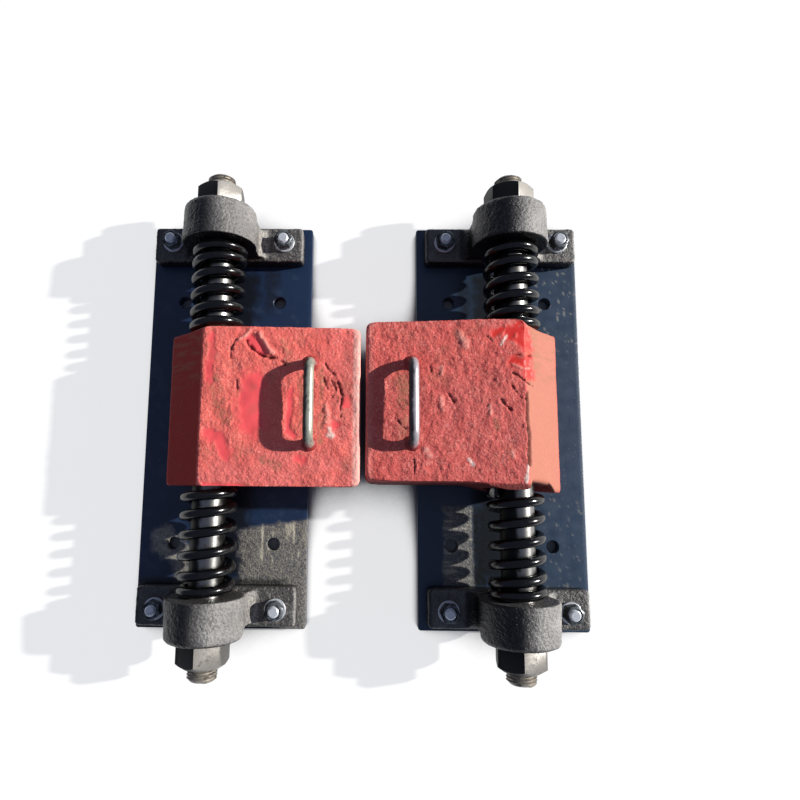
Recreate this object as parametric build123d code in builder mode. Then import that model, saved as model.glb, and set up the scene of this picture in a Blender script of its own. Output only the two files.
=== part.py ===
"""Railway buffer stop: two mirrored hinged stop blocks on sprung shafts.

X runs across the track, Y along the shafts, Z up. The base plates' undersides
lie at z = 0 and the two halves mirror each other about the plane x = 0.
"""
import os
from math import acos, asin, cos, radians, sin, sqrt

from build123d import *

os.makedirs("parts", exist_ok=True)

# Base plates
plate_width = 240.0
plate_length = 590.0
plate_thickness = 16.0
plate_corner_r = 4.0
plate_gap = 158.0

# Four open fixing holes in each plate
fixing_hole_d = 18.0
fixing_spacing_x = 143.0
fixing_spacing_y = 357.0

# Shaft axis, measured from the plate's middle line and top face
shaft_offset = 5.0
shaft_height = 66.0
shaft_d = 45.0
running_clearance = 0.08
end_float = 0.3

# Threaded ends and hexagon nuts of the shaft
shaft_thread_d = 39.0
shaft_thread_chamfer = 3.0
thread_fit = 0.05
shaft_nut_flats = 60.0
shaft_nut_height = 32.0
shaft_nut_chamfer = 3.0
thread_end_length = 17.0

# Cast pedestals
foot_end_margin = 7.0
foot_width = 222.0
foot_depth = 54.0
foot_height = 22.0
foot_corner_r = 6.0
foot_edge_r = 4.0
foot_shift = 3.0
boss_d = 104.0
boss_draft = 2.0
boss_length = 55.0
boss_overhang = 5.0
boss_edge_r = 7.0
boss_seat_edge_r = 2.0
web_inset = 2.5
web_toe_r = 13.0
web_depth = 44.0

# Studs, washers and nuts that hold the feet
stud_d = 16.0
stud_spacing = 166.0
stud_end_margin = 31.0
stud_hole_clearance = 1.0
stud_tip = 2.2
stud_chamfer = 1.5
stud_bottom_gap = 1.0
washer_d = 30.0
washer_thickness = 3.0
stud_nut_flats = 24.0
stud_nut_height = 14.8
stud_nut_chamfer = 1.0

# Stop blocks
block_gap = 6.0
block_width = 207.0
block_shift = {"left": 6.5, "right": 10.5}
block_top = 48.0
block_ridge = 4.0
block_nose = 60.0
block_rest_gap = 0.3
block_pad_start = 36.0
block_pad_step = 6.0
block_corner_r = 10.0
block_edge_r = 5.0

# Lifting handles
handle_d = 12.0
handle_reach = {"left": 136.5, "right": 141.0}
handle_rise = 24.0
handle_spacing = 103.0
handle_shift = {"left": 10.0, "right": 11.0}
handle_bend_r = 17.0

# Coil springs
spring_d = 76.0
spring_wire_d = 13.0
spring_pitch = 25.7
spring_seat_gap = 0.3

# Places that follow from the sizes above
axis_x = plate_gap / 2 + plate_width / 2 + shaft_offset
axis_z = plate_thickness + shaft_height
foot_top = plate_thickness + foot_height
foot_outer_y = plate_length / 2 - foot_end_margin
foot_mid_y = foot_outer_y - foot_depth / 2
boss_outer_y = foot_outer_y + boss_overhang
boss_inner_y = boss_outer_y - boss_length
stud_y = plate_length / 2 - stud_end_margin
stud_top = foot_top + washer_thickness + stud_nut_height + stud_tip
nut_inner_y = boss_outer_y + end_float
nut_outer_y = nut_inner_y + shaft_nut_height
shaft_end_y = nut_outer_y + thread_end_length
bore_d = shaft_d + 2 * running_clearance
block_reach = axis_x - block_gap / 2
block_pad_z = shaft_height - block_rest_gap
block_round_r = shaft_height - block_pad_step

ENDS = {"far": 1, "near": -1}
SIDES = {"outer": 1, "inner": -1}


def save(part, label):
    """Label a finished piece and write it as one STEP file."""
    part.label = label
    export_step(part, f"parts/{label}.step")


def make_base_plate(hand, label):
    """Flat plate with four fixing holes and eight tapped stud holes."""
    middle = hand * (plate_gap + plate_width) / 2
    stud_middle = middle + hand * foot_shift
    with BuildPart() as base_plate:
        with BuildSketch():
            with Locations((middle, 0)):
                RectangleRounded(plate_width, plate_length, plate_corner_r)
                with GridLocations(fixing_spacing_x, fixing_spacing_y, 2, 2):
                    Circle(fixing_hole_d / 2, mode=Mode.SUBTRACT)
            with Locations((stud_middle, 0)):
                with GridLocations(stud_spacing, 2 * stud_y, 2, 2):
                    Circle(stud_d / 2 + thread_fit, mode=Mode.SUBTRACT)
        extrude(amount=plate_thickness)
        rim = base_plate.faces().sort_by(Axis.Z)[-1].outer_wire().edges()
        chamfer(rim, 1.0)
    save(base_plate.part, label)


def make_bracket(hand, end, label):
    """Cast pedestal: foot, flared web and boss in one piece, with its bore."""
    middle = hand * ((plate_gap + plate_width) / 2 + foot_shift)
    axis = hand * axis_x
    web_half = boss_d / 2 - web_inset
    toe_x = web_half + web_toe_r
    toe_mid_x = web_half + web_toe_r * (1 - cos(radians(45)))
    toe_mid_z = foot_top + web_toe_r * (1 - sin(radians(45)))
    web_base = foot_top - foot_edge_r
    with BuildPart() as bracket:
        with BuildSketch(Plane.XY.offset(plate_thickness)):
            with Locations((middle, end * foot_mid_y)):
                RectangleRounded(foot_width, foot_depth, foot_corner_r)
        extrude(amount=foot_height)
        top = bracket.faces().sort_by(Axis.Z)[-1]
        fillet(top.edges(), foot_edge_r)
        web_y = end * (foot_mid_y + web_depth / 2)
        with BuildSketch(Plane.XZ.offset(-web_y)):
            with BuildLine():
                Polyline(
                    (axis + toe_x, foot_top),
                    (axis + toe_x, web_base),
                    (axis - toe_x, web_base),
                    (axis - toe_x, foot_top),
                )
                ThreePointArc(
                    (axis - toe_x, foot_top),
                    (axis - toe_mid_x, toe_mid_z),
                    (axis - web_half, foot_top + web_toe_r),
                )
                Polyline(
                    (axis - web_half, foot_top + web_toe_r),
                    (axis - web_half, axis_z),
                    (axis + web_half, axis_z),
                    (axis + web_half, foot_top + web_toe_r),
                )
                ThreePointArc(
                    (axis + web_half, foot_top + web_toe_r),
                    (axis + toe_mid_x, toe_mid_z),
                    (axis + toe_x, foot_top),
                )
            make_face()
        extrude(amount=end * web_depth)
        with BuildSketch(Plane.YZ.offset(axis)) as boss_profile:
            with BuildLine():
                Polyline(
                    (end * boss_inner_y, axis_z),
                    (end * boss_inner_y, axis_z + boss_d / 2),
                    (end * boss_outer_y, axis_z + boss_d / 2 - boss_draft),
                    (end * boss_outer_y, axis_z),
                    close=True,
                )
            make_face()
            corners = boss_profile.vertices().sort_by(Axis.Z)
            fillet(corners[-1], boss_seat_edge_r)
            fillet(corners[-2], boss_edge_r)
        revolve(axis=Axis((axis, 0, axis_z), (0, 1, 0)))
        with BuildSketch(Plane.XZ.offset(-end * boss_outer_y)):
            with Locations((axis, axis_z)):
                Circle(bore_d / 2)
        extrude(amount=end * boss_length, mode=Mode.SUBTRACT)
        with BuildSketch(Plane.XY.offset(plate_thickness)):
            with Locations((middle, end * stud_y)):
                with GridLocations(stud_spacing, 0, 2, 1):
                    Circle(stud_d / 2 + stud_hole_clearance)
        extrude(amount=foot_height, mode=Mode.SUBTRACT)
    save(bracket.part, label)


def make_stud(hand, end, side, label):
    """Plain stud from the plate up through foot, washer and nut."""
    x = hand * ((plate_gap + plate_width) / 2 + foot_shift + side * stud_spacing / 2)
    with BuildPart() as stud:
        with BuildSketch(Plane.XY.offset(stud_bottom_gap)):
            with Locations((x, end * stud_y)):
                Circle(stud_d / 2)
        extrude(amount=stud_top - stud_bottom_gap)
        tips = stud.edges().filter_by(GeomType.CIRCLE).sort_by(Axis.Z)
        chamfer(tips[-1], stud_chamfer)
    save(stud.part, label)


def make_washer(hand, end, side, label):
    """Flat washer on the foot."""
    x = hand * ((plate_gap + plate_width) / 2 + foot_shift + side * stud_spacing / 2)
    with BuildPart() as washer:
        with BuildSketch(Plane.XY.offset(foot_top)):
            with Locations((x, end * stud_y)):
                Circle(washer_d / 2)
                Circle(stud_d / 2 + stud_hole_clearance / 2, mode=Mode.SUBTRACT)
        extrude(amount=washer_thickness)
    save(washer.part, label)


def make_stud_nut(hand, end, side, label):
    """Hexagon nut on a stud."""
    x = hand * ((plate_gap + plate_width) / 2 + foot_shift + side * stud_spacing / 2)
    base = foot_top + washer_thickness
    corner_r = stud_nut_flats / sqrt(3)
    with BuildPart() as stud_nut:
        with BuildSketch(Plane.XY.offset(base)):
            with Locations((x, end * stud_y)):
                RegularPolygon(corner_r, 6)
        extrude(amount=stud_nut_height)
        with BuildSketch(Plane.XZ.offset(-end * stud_y)) as nut_profile:
            with Locations((x + corner_r / 2, base + stud_nut_height / 2)):
                Rectangle(corner_r, stud_nut_height)
            corners = nut_profile.vertices().group_by(Axis.X)[-1]
            chamfer(corners, stud_nut_chamfer, stud_nut_chamfer * 1.8)
        revolve(axis=Axis((x, end * stud_y, 0), (0, 0, 1)), mode=Mode.INTERSECT)
        with BuildSketch(Plane.XY.offset(base)):
            with Locations((x, end * stud_y)):
                Circle(stud_d / 2 + thread_fit)
        extrude(amount=stud_nut_height, mode=Mode.SUBTRACT)
    save(stud_nut.part, label)


def make_shaft(hand, label):
    """Bright bar with a thinner threaded length at each end."""
    axis = hand * axis_x
    with BuildPart() as shaft:
        with BuildSketch(Plane.XZ.offset(-nut_inner_y)):
            with Locations((axis, axis_z)):
                Circle(shaft_d / 2)
        extrude(amount=2 * nut_inner_y)
        with BuildSketch(Plane.XZ.offset(-shaft_end_y)):
            with Locations((axis, axis_z)):
                Circle(shaft_thread_d / 2)
        extrude(amount=2 * shaft_end_y)
        tips = shaft.edges().filter_by(GeomType.CIRCLE).sort_by(Axis.Y)
        chamfer([tips[0], tips[-1]], shaft_thread_chamfer)
    save(shaft.part, label)


def make_shaft_nut(hand, end, label):
    """Large hexagon nut against the shaft's shoulder."""
    axis = hand * axis_x
    corner_r = shaft_nut_flats / sqrt(3)
    with BuildPart() as shaft_nut:
        with BuildSketch(Plane.XZ.offset(-end * nut_outer_y)):
            with Locations((axis, axis_z)):
                RegularPolygon(corner_r, 6)
        extrude(amount=end * shaft_nut_height)
        with BuildSketch(Plane.YZ.offset(axis)) as nut_profile:
            with Locations((end * (nut_inner_y + nut_outer_y) / 2, axis_z + corner_r / 2)):
                Rectangle(shaft_nut_height, corner_r)
            chamfer(nut_profile.vertices().group_by(Axis.Z)[-1], shaft_nut_chamfer)
        revolve(axis=Axis((axis, 0, axis_z), (0, 1, 0)), mode=Mode.INTERSECT)
        with BuildSketch(Plane.XZ.offset(-end * nut_outer_y)):
            with Locations((axis, axis_z)):
                Circle(shaft_thread_d / 2 + thread_fit)
        extrude(amount=end * shaft_nut_height, mode=Mode.SUBTRACT)
    save(shaft_nut.part, label)


def make_spring(hand, end, shift, label):
    """Open coil spring around the shaft, from the block to the pedestal."""
    axis = hand * axis_x
    seat = end * block_width / 2 + shift
    length = abs(end * boss_inner_y - seat) - 2 * spring_seat_gap - spring_wire_d
    start = seat + end * (spring_seat_gap + spring_wire_d / 2)
    mean_r = (spring_d - spring_wire_d) / 2
    with BuildPart() as spring:
        with BuildLine():
            coil = Helix(
                pitch=spring_pitch,
                height=length,
                radius=mean_r,
                center=(axis, start, axis_z),
                direction=(0, end, 0),
            )
        with BuildSketch(Plane(origin=coil @ 0, z_dir=coil % 0)):
            Circle(spring_wire_d / 2)
        sweep(path=coil, is_frenet=True)
    save(spring.part, label)


def make_block(hand, shift, label):
    """Cast block: flat top, sloping nose, round back of the bore and a pad."""
    end_y = shift + block_width / 2
    low_x = sqrt(block_reach**2 - block_pad_z**2)
    mid_angle = asin(block_pad_z / block_reach) / 2

    def at(reach, rise):
        """Point of the profile, measured inward and up from the shaft axis."""
        return (hand * (axis_x - reach), axis_z + rise)

    with BuildPart() as block:
        with BuildSketch(Plane.XZ.offset(-end_y)):
            with BuildLine():
                Polyline(
                    at(block_reach, 0),
                    at(block_reach, block_top),
                    at(-block_ridge, block_top),
                    at(-block_nose, 0),
                )
                ThreePointArc(
                    at(-block_nose, 0),
                    at(-block_round_r * cos(radians(45)), -block_round_r * sin(radians(45))),
                    at(0, -block_round_r),
                )
                Polyline(
                    at(0, -block_round_r),
                    at(block_pad_start - block_pad_step, -block_round_r),
                    at(block_pad_start, -block_pad_z),
                    at(low_x, -block_pad_z),
                )
                ThreePointArc(
                    at(low_x, -block_pad_z),
                    at(block_reach * cos(mid_angle), -block_reach * sin(mid_angle)),
                    at(block_reach, 0),
                )
            make_face()
        extrude(amount=block_width)
        end_edges = block.edges().group_by(Axis.Y)[0] + block.edges().group_by(Axis.Y)[-1]
        meeting = [e for e in end_edges if abs(e.center().X) < axis_x - low_x + block_gap]
        fillet(meeting, block_corner_r)
        top_face = block.faces().sort_by(Axis.Z)[-1]
        fillet(top_face.edges(), block_edge_r)
        with BuildSketch(Plane.XZ.offset(-end_y)):
            with Locations((hand * axis_x, axis_z)):
                Circle(bore_d / 2)
        extrude(amount=block_width, mode=Mode.SUBTRACT)
    save(block.part, label)


def make_handle(hand, reach, shift, label):
    """Round bar bent into a grip, its two feet square on the block's top."""
    x = hand * (axis_x - reach)
    base = axis_z + block_top
    near_y = shift - handle_spacing / 2
    far_y = shift + handle_spacing / 2
    with BuildPart() as handle:
        with BuildLine() as bar:
            FilletPolyline(
                (x, near_y, base),
                (x, near_y, base + handle_rise),
                (x, far_y, base + handle_rise),
                (x, far_y, base),
                radius=handle_bend_r,
            )
        with BuildSketch(Plane.XY.offset(base)):
            with Locations((x, near_y)):
                Circle(handle_d / 2)
        sweep(path=bar.wires()[0])
    save(handle.part, label)


for hand_name, hand in {"left": -1, "right": 1}.items():
    make_base_plate(hand, f"{hand_name}_base_plate")
    make_shaft(hand, f"{hand_name}_shaft")
    make_block(hand, block_shift[hand_name], f"{hand_name}_block")
    make_handle(hand, handle_reach[hand_name], handle_shift[hand_name], f"{hand_name}_handle")
    for end_name, end in ENDS.items():
        make_bracket(hand, end, f"{hand_name}_{end_name}_bracket")
        make_shaft_nut(hand, end, f"{hand_name}_{end_name}_shaft_nut")
        make_spring(hand, end, block_shift[hand_name], f"{hand_name}_{end_name}_spring")
        for side_name, side in SIDES.items():
            place = f"{hand_name}_{end_name}_{side_name}"
            make_stud(hand, end, side, f"{place}_stud")
            make_washer(hand, end, side, f"{place}_washer")
            make_stud_nut(hand, end, side, f"{place}_nut")
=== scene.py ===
"""Visual model of a pair of spring-cushioned stop blocks for a narrow mine track.

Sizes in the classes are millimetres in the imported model's frame: +X across the
track to the right half, +Y along the shafts to the far end, +Z up from the
undersides of the plates. A finished piece is in metres, with its place in its mesh.
"""

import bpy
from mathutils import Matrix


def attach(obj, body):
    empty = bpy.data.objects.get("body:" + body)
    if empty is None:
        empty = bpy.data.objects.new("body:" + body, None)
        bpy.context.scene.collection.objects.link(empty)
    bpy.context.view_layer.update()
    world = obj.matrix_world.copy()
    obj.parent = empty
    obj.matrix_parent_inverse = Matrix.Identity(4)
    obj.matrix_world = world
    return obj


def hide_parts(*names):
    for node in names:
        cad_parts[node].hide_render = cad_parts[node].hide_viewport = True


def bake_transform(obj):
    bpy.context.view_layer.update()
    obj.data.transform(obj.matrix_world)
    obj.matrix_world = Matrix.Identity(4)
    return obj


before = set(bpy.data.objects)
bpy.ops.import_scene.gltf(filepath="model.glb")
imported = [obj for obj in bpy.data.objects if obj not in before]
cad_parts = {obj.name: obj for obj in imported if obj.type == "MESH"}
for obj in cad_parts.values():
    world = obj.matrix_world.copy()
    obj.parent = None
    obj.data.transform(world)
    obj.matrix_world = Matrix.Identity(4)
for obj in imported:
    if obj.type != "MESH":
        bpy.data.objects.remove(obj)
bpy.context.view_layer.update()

import logging
from dataclasses import dataclass, replace
from enum import Enum
from math import acos, cos, hypot, pi, radians, sin, sqrt
from typing import Callable, Iterable

import bmesh
import bpy
import numpy as np
from bmesh.types import BMEdge, BMesh, BMVert
from bpy.types import Mesh, Node, NodeSocket, NodeTree, Object
from mathutils import Matrix, Vector, noise

log = logging.getLogger("stop_blocks")

MM = 0.001
AXIS_X = 204.0
AXIS_Z = 82.0
PLATE_MIDDLE_X = 199.0
FOOT_MIDDLE_X = 202.0
PLATE_TOP = 16.0
FOOT_TOP = 38.0
BLOCK_TOP = 130.0
BOSS_INNER_Y = 238.0
BOSS_OUTER_Y = 293.0
END_FLOAT = 0.3

Point = tuple[float, float, float]
Flat = tuple[float, float]
Array = np.ndarray
ALONG_Y = (0.0, 1.0, 0.0)
ALONG_Z = (0.0, 0.0, 1.0)


class Named(Enum):
    """A choice whose name is part of the CAD nodes' names."""

    @property
    def word(self) -> str:
        """The name as the CAD nodes have it."""
        return self.name.lower()


class Hand(Named):
    """Which half of the pair."""

    LEFT = -1
    RIGHT = 1

    @property
    def block_ends(self) -> Flat:
        """Where the half's block ends along the shaft, near and far."""
        return (-97.0, 110.0) if self is Hand.LEFT else (-93.0, 114.0)

    @property
    def axis_x(self) -> float:
        """Where the half's shaft lies."""
        return self.value * AXIS_X


class End(Named):
    """Which end of a half, seen from the middle of the track."""

    FAR = 1
    NEAR = -1


class Side(Named):
    """Which side of the shaft a foot stud stands on."""

    OUTER = 1
    INNER = -1


# Workshop tools


def closed(bm: BMesh) -> None:
    """Merges doubled points and turns every face outwards."""
    bmesh.ops.remove_doubles(bm, verts=bm.verts, dist=0.002)
    bmesh.ops.recalc_face_normals(bm, faces=bm.faces)


def ease(
    bm: BMesh,
    width: float,
    segments: int = 3,
    pick: Callable[[BMEdge], bool] = lambda edge: True,
) -> None:
    """Rounds the sharp edges of a closed form.

    Args:
        bm: form in millimetres, already closed.
        width: how far the rounding reaches from the edge.
        segments: facets across the rounding.
        pick: tells which of the sharp edges are rounded.
    """
    picked = (e for e in bm.edges if e.is_manifold and pick(e))
    sharp = [e for e in picked if e.calc_face_angle(0.0) > radians(28)]
    bmesh.ops.bevel(
        bm,
        geom=sharp,
        offset=width,
        segments=segments,
        profile=0.5,
        affect="EDGES",
        material=-1,
        clamp_overlap=True,
    )


def lathe(
    bm: BMesh,
    outline: Iterable[Point],
    centre: Point,
    axis: Point,
    steps: int,
    ring: bool,
) -> None:
    """Turns an outline round an axis into a closed form.

    Args:
        bm: mesh that takes the form.
        outline: corners of the outline, in one plane with the axis.
        centre: a point of the axis.
        axis: direction of the axis.
        steps: facets round the axis.
        ring: whether the outline closes on itself, clear of the axis.
    """
    corners = [bm.verts.new(p) for p in outline]
    ahead = corners[1:] + corners[:1] if ring else corners[1:]
    runs = [bm.edges.new(pair) for pair in zip(corners, ahead)]
    bmesh.ops.spin(
        bm,
        geom=corners + runs,
        cent=centre,
        axis=axis,
        angle=2 * pi,
        steps=steps,
        use_merge=True,
        use_duplicate=False,
    )


def drawn_out(bm: BMesh, run: Point) -> list[BMVert]:
    """Draws a mesh's flat faces out into a closed form.

    Args:
        bm: mesh that holds the faces and nothing else.
        run: way and length.

    Returns:
        The points of the new end.
    """
    grown = bmesh.ops.extrude_face_region(bm, geom=bm.faces[:])
    end = [v for v in grown["geom"] if isinstance(v, BMVert)]
    bmesh.ops.translate(bm, vec=run, verts=end)
    return end


def add_box(bm: BMesh, size: Point, middle: Point) -> None:
    """Adds a plain box of that size round its middle."""
    box = bmesh.ops.create_cube(bm, size=1.0)["verts"]
    bmesh.ops.scale(bm, vec=size, verts=box)
    bmesh.ops.translate(bm, vec=middle, verts=box)


def upright(edge: BMEdge) -> bool:
    """Whether an edge climbs by more than 5 mm."""
    return abs(edge.verts[0].co.z - edge.verts[1].co.z) > 5


def shaded(mesh: Mesh, sharp_deg: float) -> None:
    """Shades a mesh smooth, but for edges over that angle."""
    mesh.shade_smooth()
    mesh.set_sharp_from_angle(angle=radians(sharp_deg))


def piece(name: str, bm: BMesh, sharp_deg: float = 32.0) -> Object:
    """Ends the work on a form and makes it an object at the origin, in metres.

    Args:
        name: the object's name.
        bm: the form in millimetres; it is freed.
        sharp_deg: edges over this angle stay sharp in the shading.

    Returns:
        The new object.
    """
    bmesh.ops.scale(bm, vec=(MM, MM, MM), verts=bm.verts)
    mesh = bpy.data.meshes.new(name)
    bm.to_mesh(mesh)
    bm.free()
    obj = bpy.data.objects.new(name, mesh)
    bpy.context.scene.collection.objects.link(obj)
    shaded(mesh, sharp_deg)
    return obj


def worked(obj: Object, kind: str, **settings: object) -> None:
    """Runs one modifier over a piece and keeps what it gives as the piece's mesh.

    Args:
        obj: the piece.
        kind: the modifier's type.
        **settings: the modifier's settings.
    """
    modifier = obj.modifiers.new(kind.lower(), kind)
    for key, value in settings.items():
        setattr(modifier, key, value)
    bpy.context.view_layer.update()
    shaped = obj.evaluated_get(bpy.context.evaluated_depsgraph_get())
    mesh = bpy.data.meshes.new_from_object(shaped)
    obj.modifiers.clear()
    old = obj.data
    obj.data = mesh
    bpy.data.meshes.remove(old)
    mesh.name = obj.name


def carve(obj: Object, tool: BMesh, operation: str = "DIFFERENCE") -> None:
    """Cuts a piece with a closed form.

    Args:
        obj: the piece.
        tool: the cutting form in millimetres; it is used up.
        operation: the Boolean operation.
    """
    closed(tool)
    cutter = piece("cutter", tool)
    worked(obj, "BOOLEAN", object=cutter, operation=operation, solver="EXACT")
    mesh = cutter.data
    bpy.data.objects.remove(cutter)
    bpy.data.meshes.remove(mesh)


def skinned(obj: Object, voxel: float, passes: int) -> None:
    """Grows a piece's overlapping forms into one skin, and smooths it in so many passes."""
    worked(obj, "REMESH", mode="VOXEL", voxel_size=voxel * MM, use_smooth_shade=True)
    worked(obj, "SMOOTH", factor=0.5, iterations=passes)


def bored(obj: Object, x: float, run: Flat, radius: float, sharp_deg: float) -> None:
    """Drills a piece along a shaft's axis and shades it.

    Args:
        obj: the piece.
        x: where the axis lies.
        run: where the drill starts and stops along Y.
        radius: the bore's radius.
        sharp_deg: edges over this angle stay sharp in the shading.
    """
    low, high = run
    corners = ((0, low), (radius, low), (radius, high), (0, high))
    drill = bmesh.new()
    lathe(drill, [(x, y, AXIS_Z + out) for out, y in corners], (x, 0, AXIS_Z), ALONG_Y, 64, False)
    carve(obj, drill)
    shaded(obj.data, sharp_deg)


def dressed(obj: Object, finish: "Finish", slot: str, body: str | None, *nodes: str) -> Object:
    """Gives a piece its finish and its place in the frame, and reports it.

    Args:
        obj: the piece.
        finish: its finish.
        slot: a material slot's name; not used.
        body: the body it rides on, or None where it bends between two.
        *nodes: CAD nodes that it stands for.

    Returns:
        The piece.
    """
    obj.data.materials.clear()
    obj.data.materials.append(finish.material())
    if nodes:
        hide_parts(*nodes)
    if body:
        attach(obj, body)
    triangles = sum(len(p.vertices) - 2 for p in obj.data.polygons)
    log.info("%s: %d triangles, %s", obj.name, triangles, finish.name)
    return obj


def ramp(low: float, high: float, at: Array) -> Array:
    """Eased step from 0 at low to 1 at high, which may lie below low."""
    t = np.clip((at - low) / (high - low), 0.0, 1.0)
    return t * t * (3.0 - 2.0 * t)


def grain(points: Array, size: float, seed: float, octaves: int = 3) -> Array:
    """Fractal noise at points.

    Args:
        points: places in millimetres, one a row.
        size: distance across one feature.
        seed: shifts the pattern.
        octaves: layers of finer detail.

    Returns:
        One value a point, about -1 to 1.
    """
    shift = Vector((seed * 17.3, seed * 5.9, seed * 11.1))
    places = (Vector(p) / size + shift for p in points.tolist())
    return np.array([noise.fractal(place, 1.0, 2.1, octaves) for place in places])


def lumps(points: Array, size: float, seed: float) -> Array:
    """Round grains packed side by side: 1 at a grain's middle, 0 between grains.

    Args:
        points: places in millimetres, one a row.
        size: distance between grains.
        seed: shifts the pattern.

    Returns:
        One value a point, 0 to 1.
    """
    shift = Vector((seed * 7.7, seed * 3.1, seed * 13.3))
    near = [noise.voronoi(Vector(p) / size + shift)[0][0] for p in points.tolist()]
    return 1.0 - np.clip(np.array(near) * 1.3, 0.0, 1.0)


def from_line(points: Array, line: tuple[Flat, ...]) -> Array:
    """Distance of points from a line of runs, seen from above.

    Args:
        points: places in millimetres, one a row.
        line: corners of the line.

    Returns:
        One distance a point.
    """
    best = np.full(len(points), 1e9)
    for (ax, ay), (bx, by) in zip(line, line[1:] or line):
        run = np.array((bx - ax, by - ay))
        rel = points[:, :2] - np.array((ax, ay))
        t = np.clip(rel @ run / max(float(run @ run), 1e-9), 0.0, 1.0)
        best = np.minimum(best, np.hypot(*(rel - t[:, None] * run).T))
    return best


def points_of(mesh: Mesh) -> Array:
    """The mesh's points in millimetres, one a row."""
    flat = np.empty(len(mesh.vertices) * 3)
    mesh.vertices.foreach_get("co", flat)
    return flat.reshape(-1, 3) / MM


def normals_of(mesh: Mesh) -> Array:
    """The mesh's normals at its points, one a row."""
    flat = np.empty(len(mesh.vertices) * 3)
    mesh.vertex_normals.foreach_get("vector", flat)
    return flat.reshape(-1, 3)


def push(mesh: Mesh, points: Array, along: Array, by: Array) -> None:
    """Moves each point along a direction and keeps the result in the mesh."""
    mesh.vertices.foreach_set("co", ((points + along * by[:, None]) * MM).ravel())
    mesh.update()


def mark(mesh: Mesh, name: str, values: Array) -> None:
    """Stores one value a point, which a material reads by that name."""
    layer = mesh.attributes.new(name, "FLOAT", "POINT")
    layer.data.foreach_set("value", np.clip(values, 0.0, 1.0).astype(np.float32))


# Finishes


def linear(code: str) -> tuple[float, float, float, float]:
    """Turns an sRGB hex colour to linear light, with full alpha."""
    parts = [int(code[i : i + 2], 16) / 255 for i in (1, 3, 5)]
    r, g, b = (c / 12.92 if c <= 0.04045 else ((c + 0.055) / 1.055) ** 2.4 for c in parts)
    return (r, g, b, 1.0)


def per_mm(size: float) -> float:
    """Texture scale in Object coordinates for a feature of that many millimetres."""
    return 1000.0 / size


def add(tree: NodeTree, kind: str, inputs: dict | None = None, **settings: object) -> Node:
    """Adds a shader node with its settings, constants and links.

    Args:
        tree: the material's nodes.
        kind: the node's type after ShaderNode.
        inputs: what each input gets, a constant or the socket that feeds it.
        **settings: the node's own settings.

    Returns:
        The new node.
    """
    node = tree.nodes.new("ShaderNode" + kind)
    for key, value in settings.items():
        setattr(node, key, value)
    for key, value in (inputs or {}).items():
        if isinstance(value, NodeSocket):
            tree.links.new(value, node.inputs[key])
        else:
            node.inputs[key].default_value = value
    return node


@dataclass(frozen=True)
class Coat:
    """One material's nodes while they are laid between the piece and the shader."""

    tree: NodeTree
    shader: Node
    where: NodeSocket

    def read(self, name: str) -> NodeSocket:
        """The mark of that name on the mesh."""
        return add(self.tree, "Attribute", attribute_name=name).outputs["Fac"]

    def noise(self, size: float, detail: float, roughness: float = 0.5) -> NodeSocket:
        """Noise with features of that many millimetres."""
        inputs = {"Vector": self.where, "Scale": per_mm(size), "Detail": detail, "Roughness": roughness}
        return add(self.tree, "TexNoise", inputs).outputs["Fac"]

    def span(
        self,
        value: NodeSocket,
        low: float,
        high: float,
        to_low: float = 0.0,
        to_high: float = 1.0,
    ) -> NodeSocket:
        """Maps a value from one span to another and holds it at the ends.

        Args:
            value: what is mapped.
            low: start of its span.
            high: end of its span, which may lie below the start.
            to_low: what the start becomes.
            to_high: what the end becomes.

        Returns:
            The mapped value.
        """
        ends = {"From Min": low, "From Max": high, "To Min": to_low, "To Max": to_high}
        return add(self.tree, "MapRange", {"Value": value, **ends}).outputs[0]

    def times(self, one: NodeSocket, other: NodeSocket | float) -> NodeSocket:
        """The product of two values."""
        return add(self.tree, "Math", {0: one, 1: other}, operation="MULTIPLY").outputs[0]

    def most(self, one: NodeSocket, other: NodeSocket) -> NodeSocket:
        """The greater of two values."""
        return add(self.tree, "Math", {0: one, 1: other}, operation="MAXIMUM").outputs[0]

    def mix(self, share: NodeSocket, *colours: str | NodeSocket) -> NodeSocket:
        """The first colour, with that share of the second over it."""
        below, over = (linear(c) if isinstance(c, str) else c for c in colours)
        return add(self.tree, "Mix", {0: share, 6: below, 7: over}, data_type="RGBA").outputs[2]

    def finish(
        self,
        colour: NodeSocket,
        roughness: NodeSocket,
        height: NodeSocket,
        depth: float,
        strength: float = 1.0,
    ) -> None:
        """Feeds the shader with what was laid.

        Args:
            colour: the colour.
            roughness: the roughness.
            height: the relief's height, 0 to 1.
            depth: the relief's depth in millimetres.
            strength: how strongly the relief shows.
        """
        relief = {"Height": height, "Distance": depth * MM, "Strength": strength}
        bump = add(self.tree, "Bump", relief).outputs[0]
        for name, socket in (("Base Color", colour), ("Roughness", roughness), ("Normal", bump)):
            self.tree.links.new(socket, self.shader.inputs[name])


@dataclass(frozen=True)
class Finish:
    """What every finish has: a name, one shader and its constant values."""

    name: str = "finish"
    ior: float = 1.5
    metallic: float = 0.0
    sheen: float = 0.5

    def material(self) -> bpy.types.Material:
        """Makes the material, or gives the one that is already made.

        Returns:
            The material.
        """
        made = bpy.data.materials.get(self.name)
        if made:
            return made
        made = bpy.data.materials.new(self.name)
        made.use_nodes = True
        tree = made.node_tree
        tree.nodes.clear()
        kept = {"IOR": self.ior, "Metallic": self.metallic, "Specular IOR Level": self.sheen}
        shader = add(tree, "BsdfPrincipled", kept)
        add(tree, "OutputMaterial", {"Surface": shader.outputs[0]})
        self.paint(Coat(tree, shader, add(tree, "TexCoord").outputs["Object"]))
        return made

    def paint(self, coat: Coat) -> None:
        """Lays the colour, roughness and relief; each finish has its own."""
        raise NotImplementedError


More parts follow.
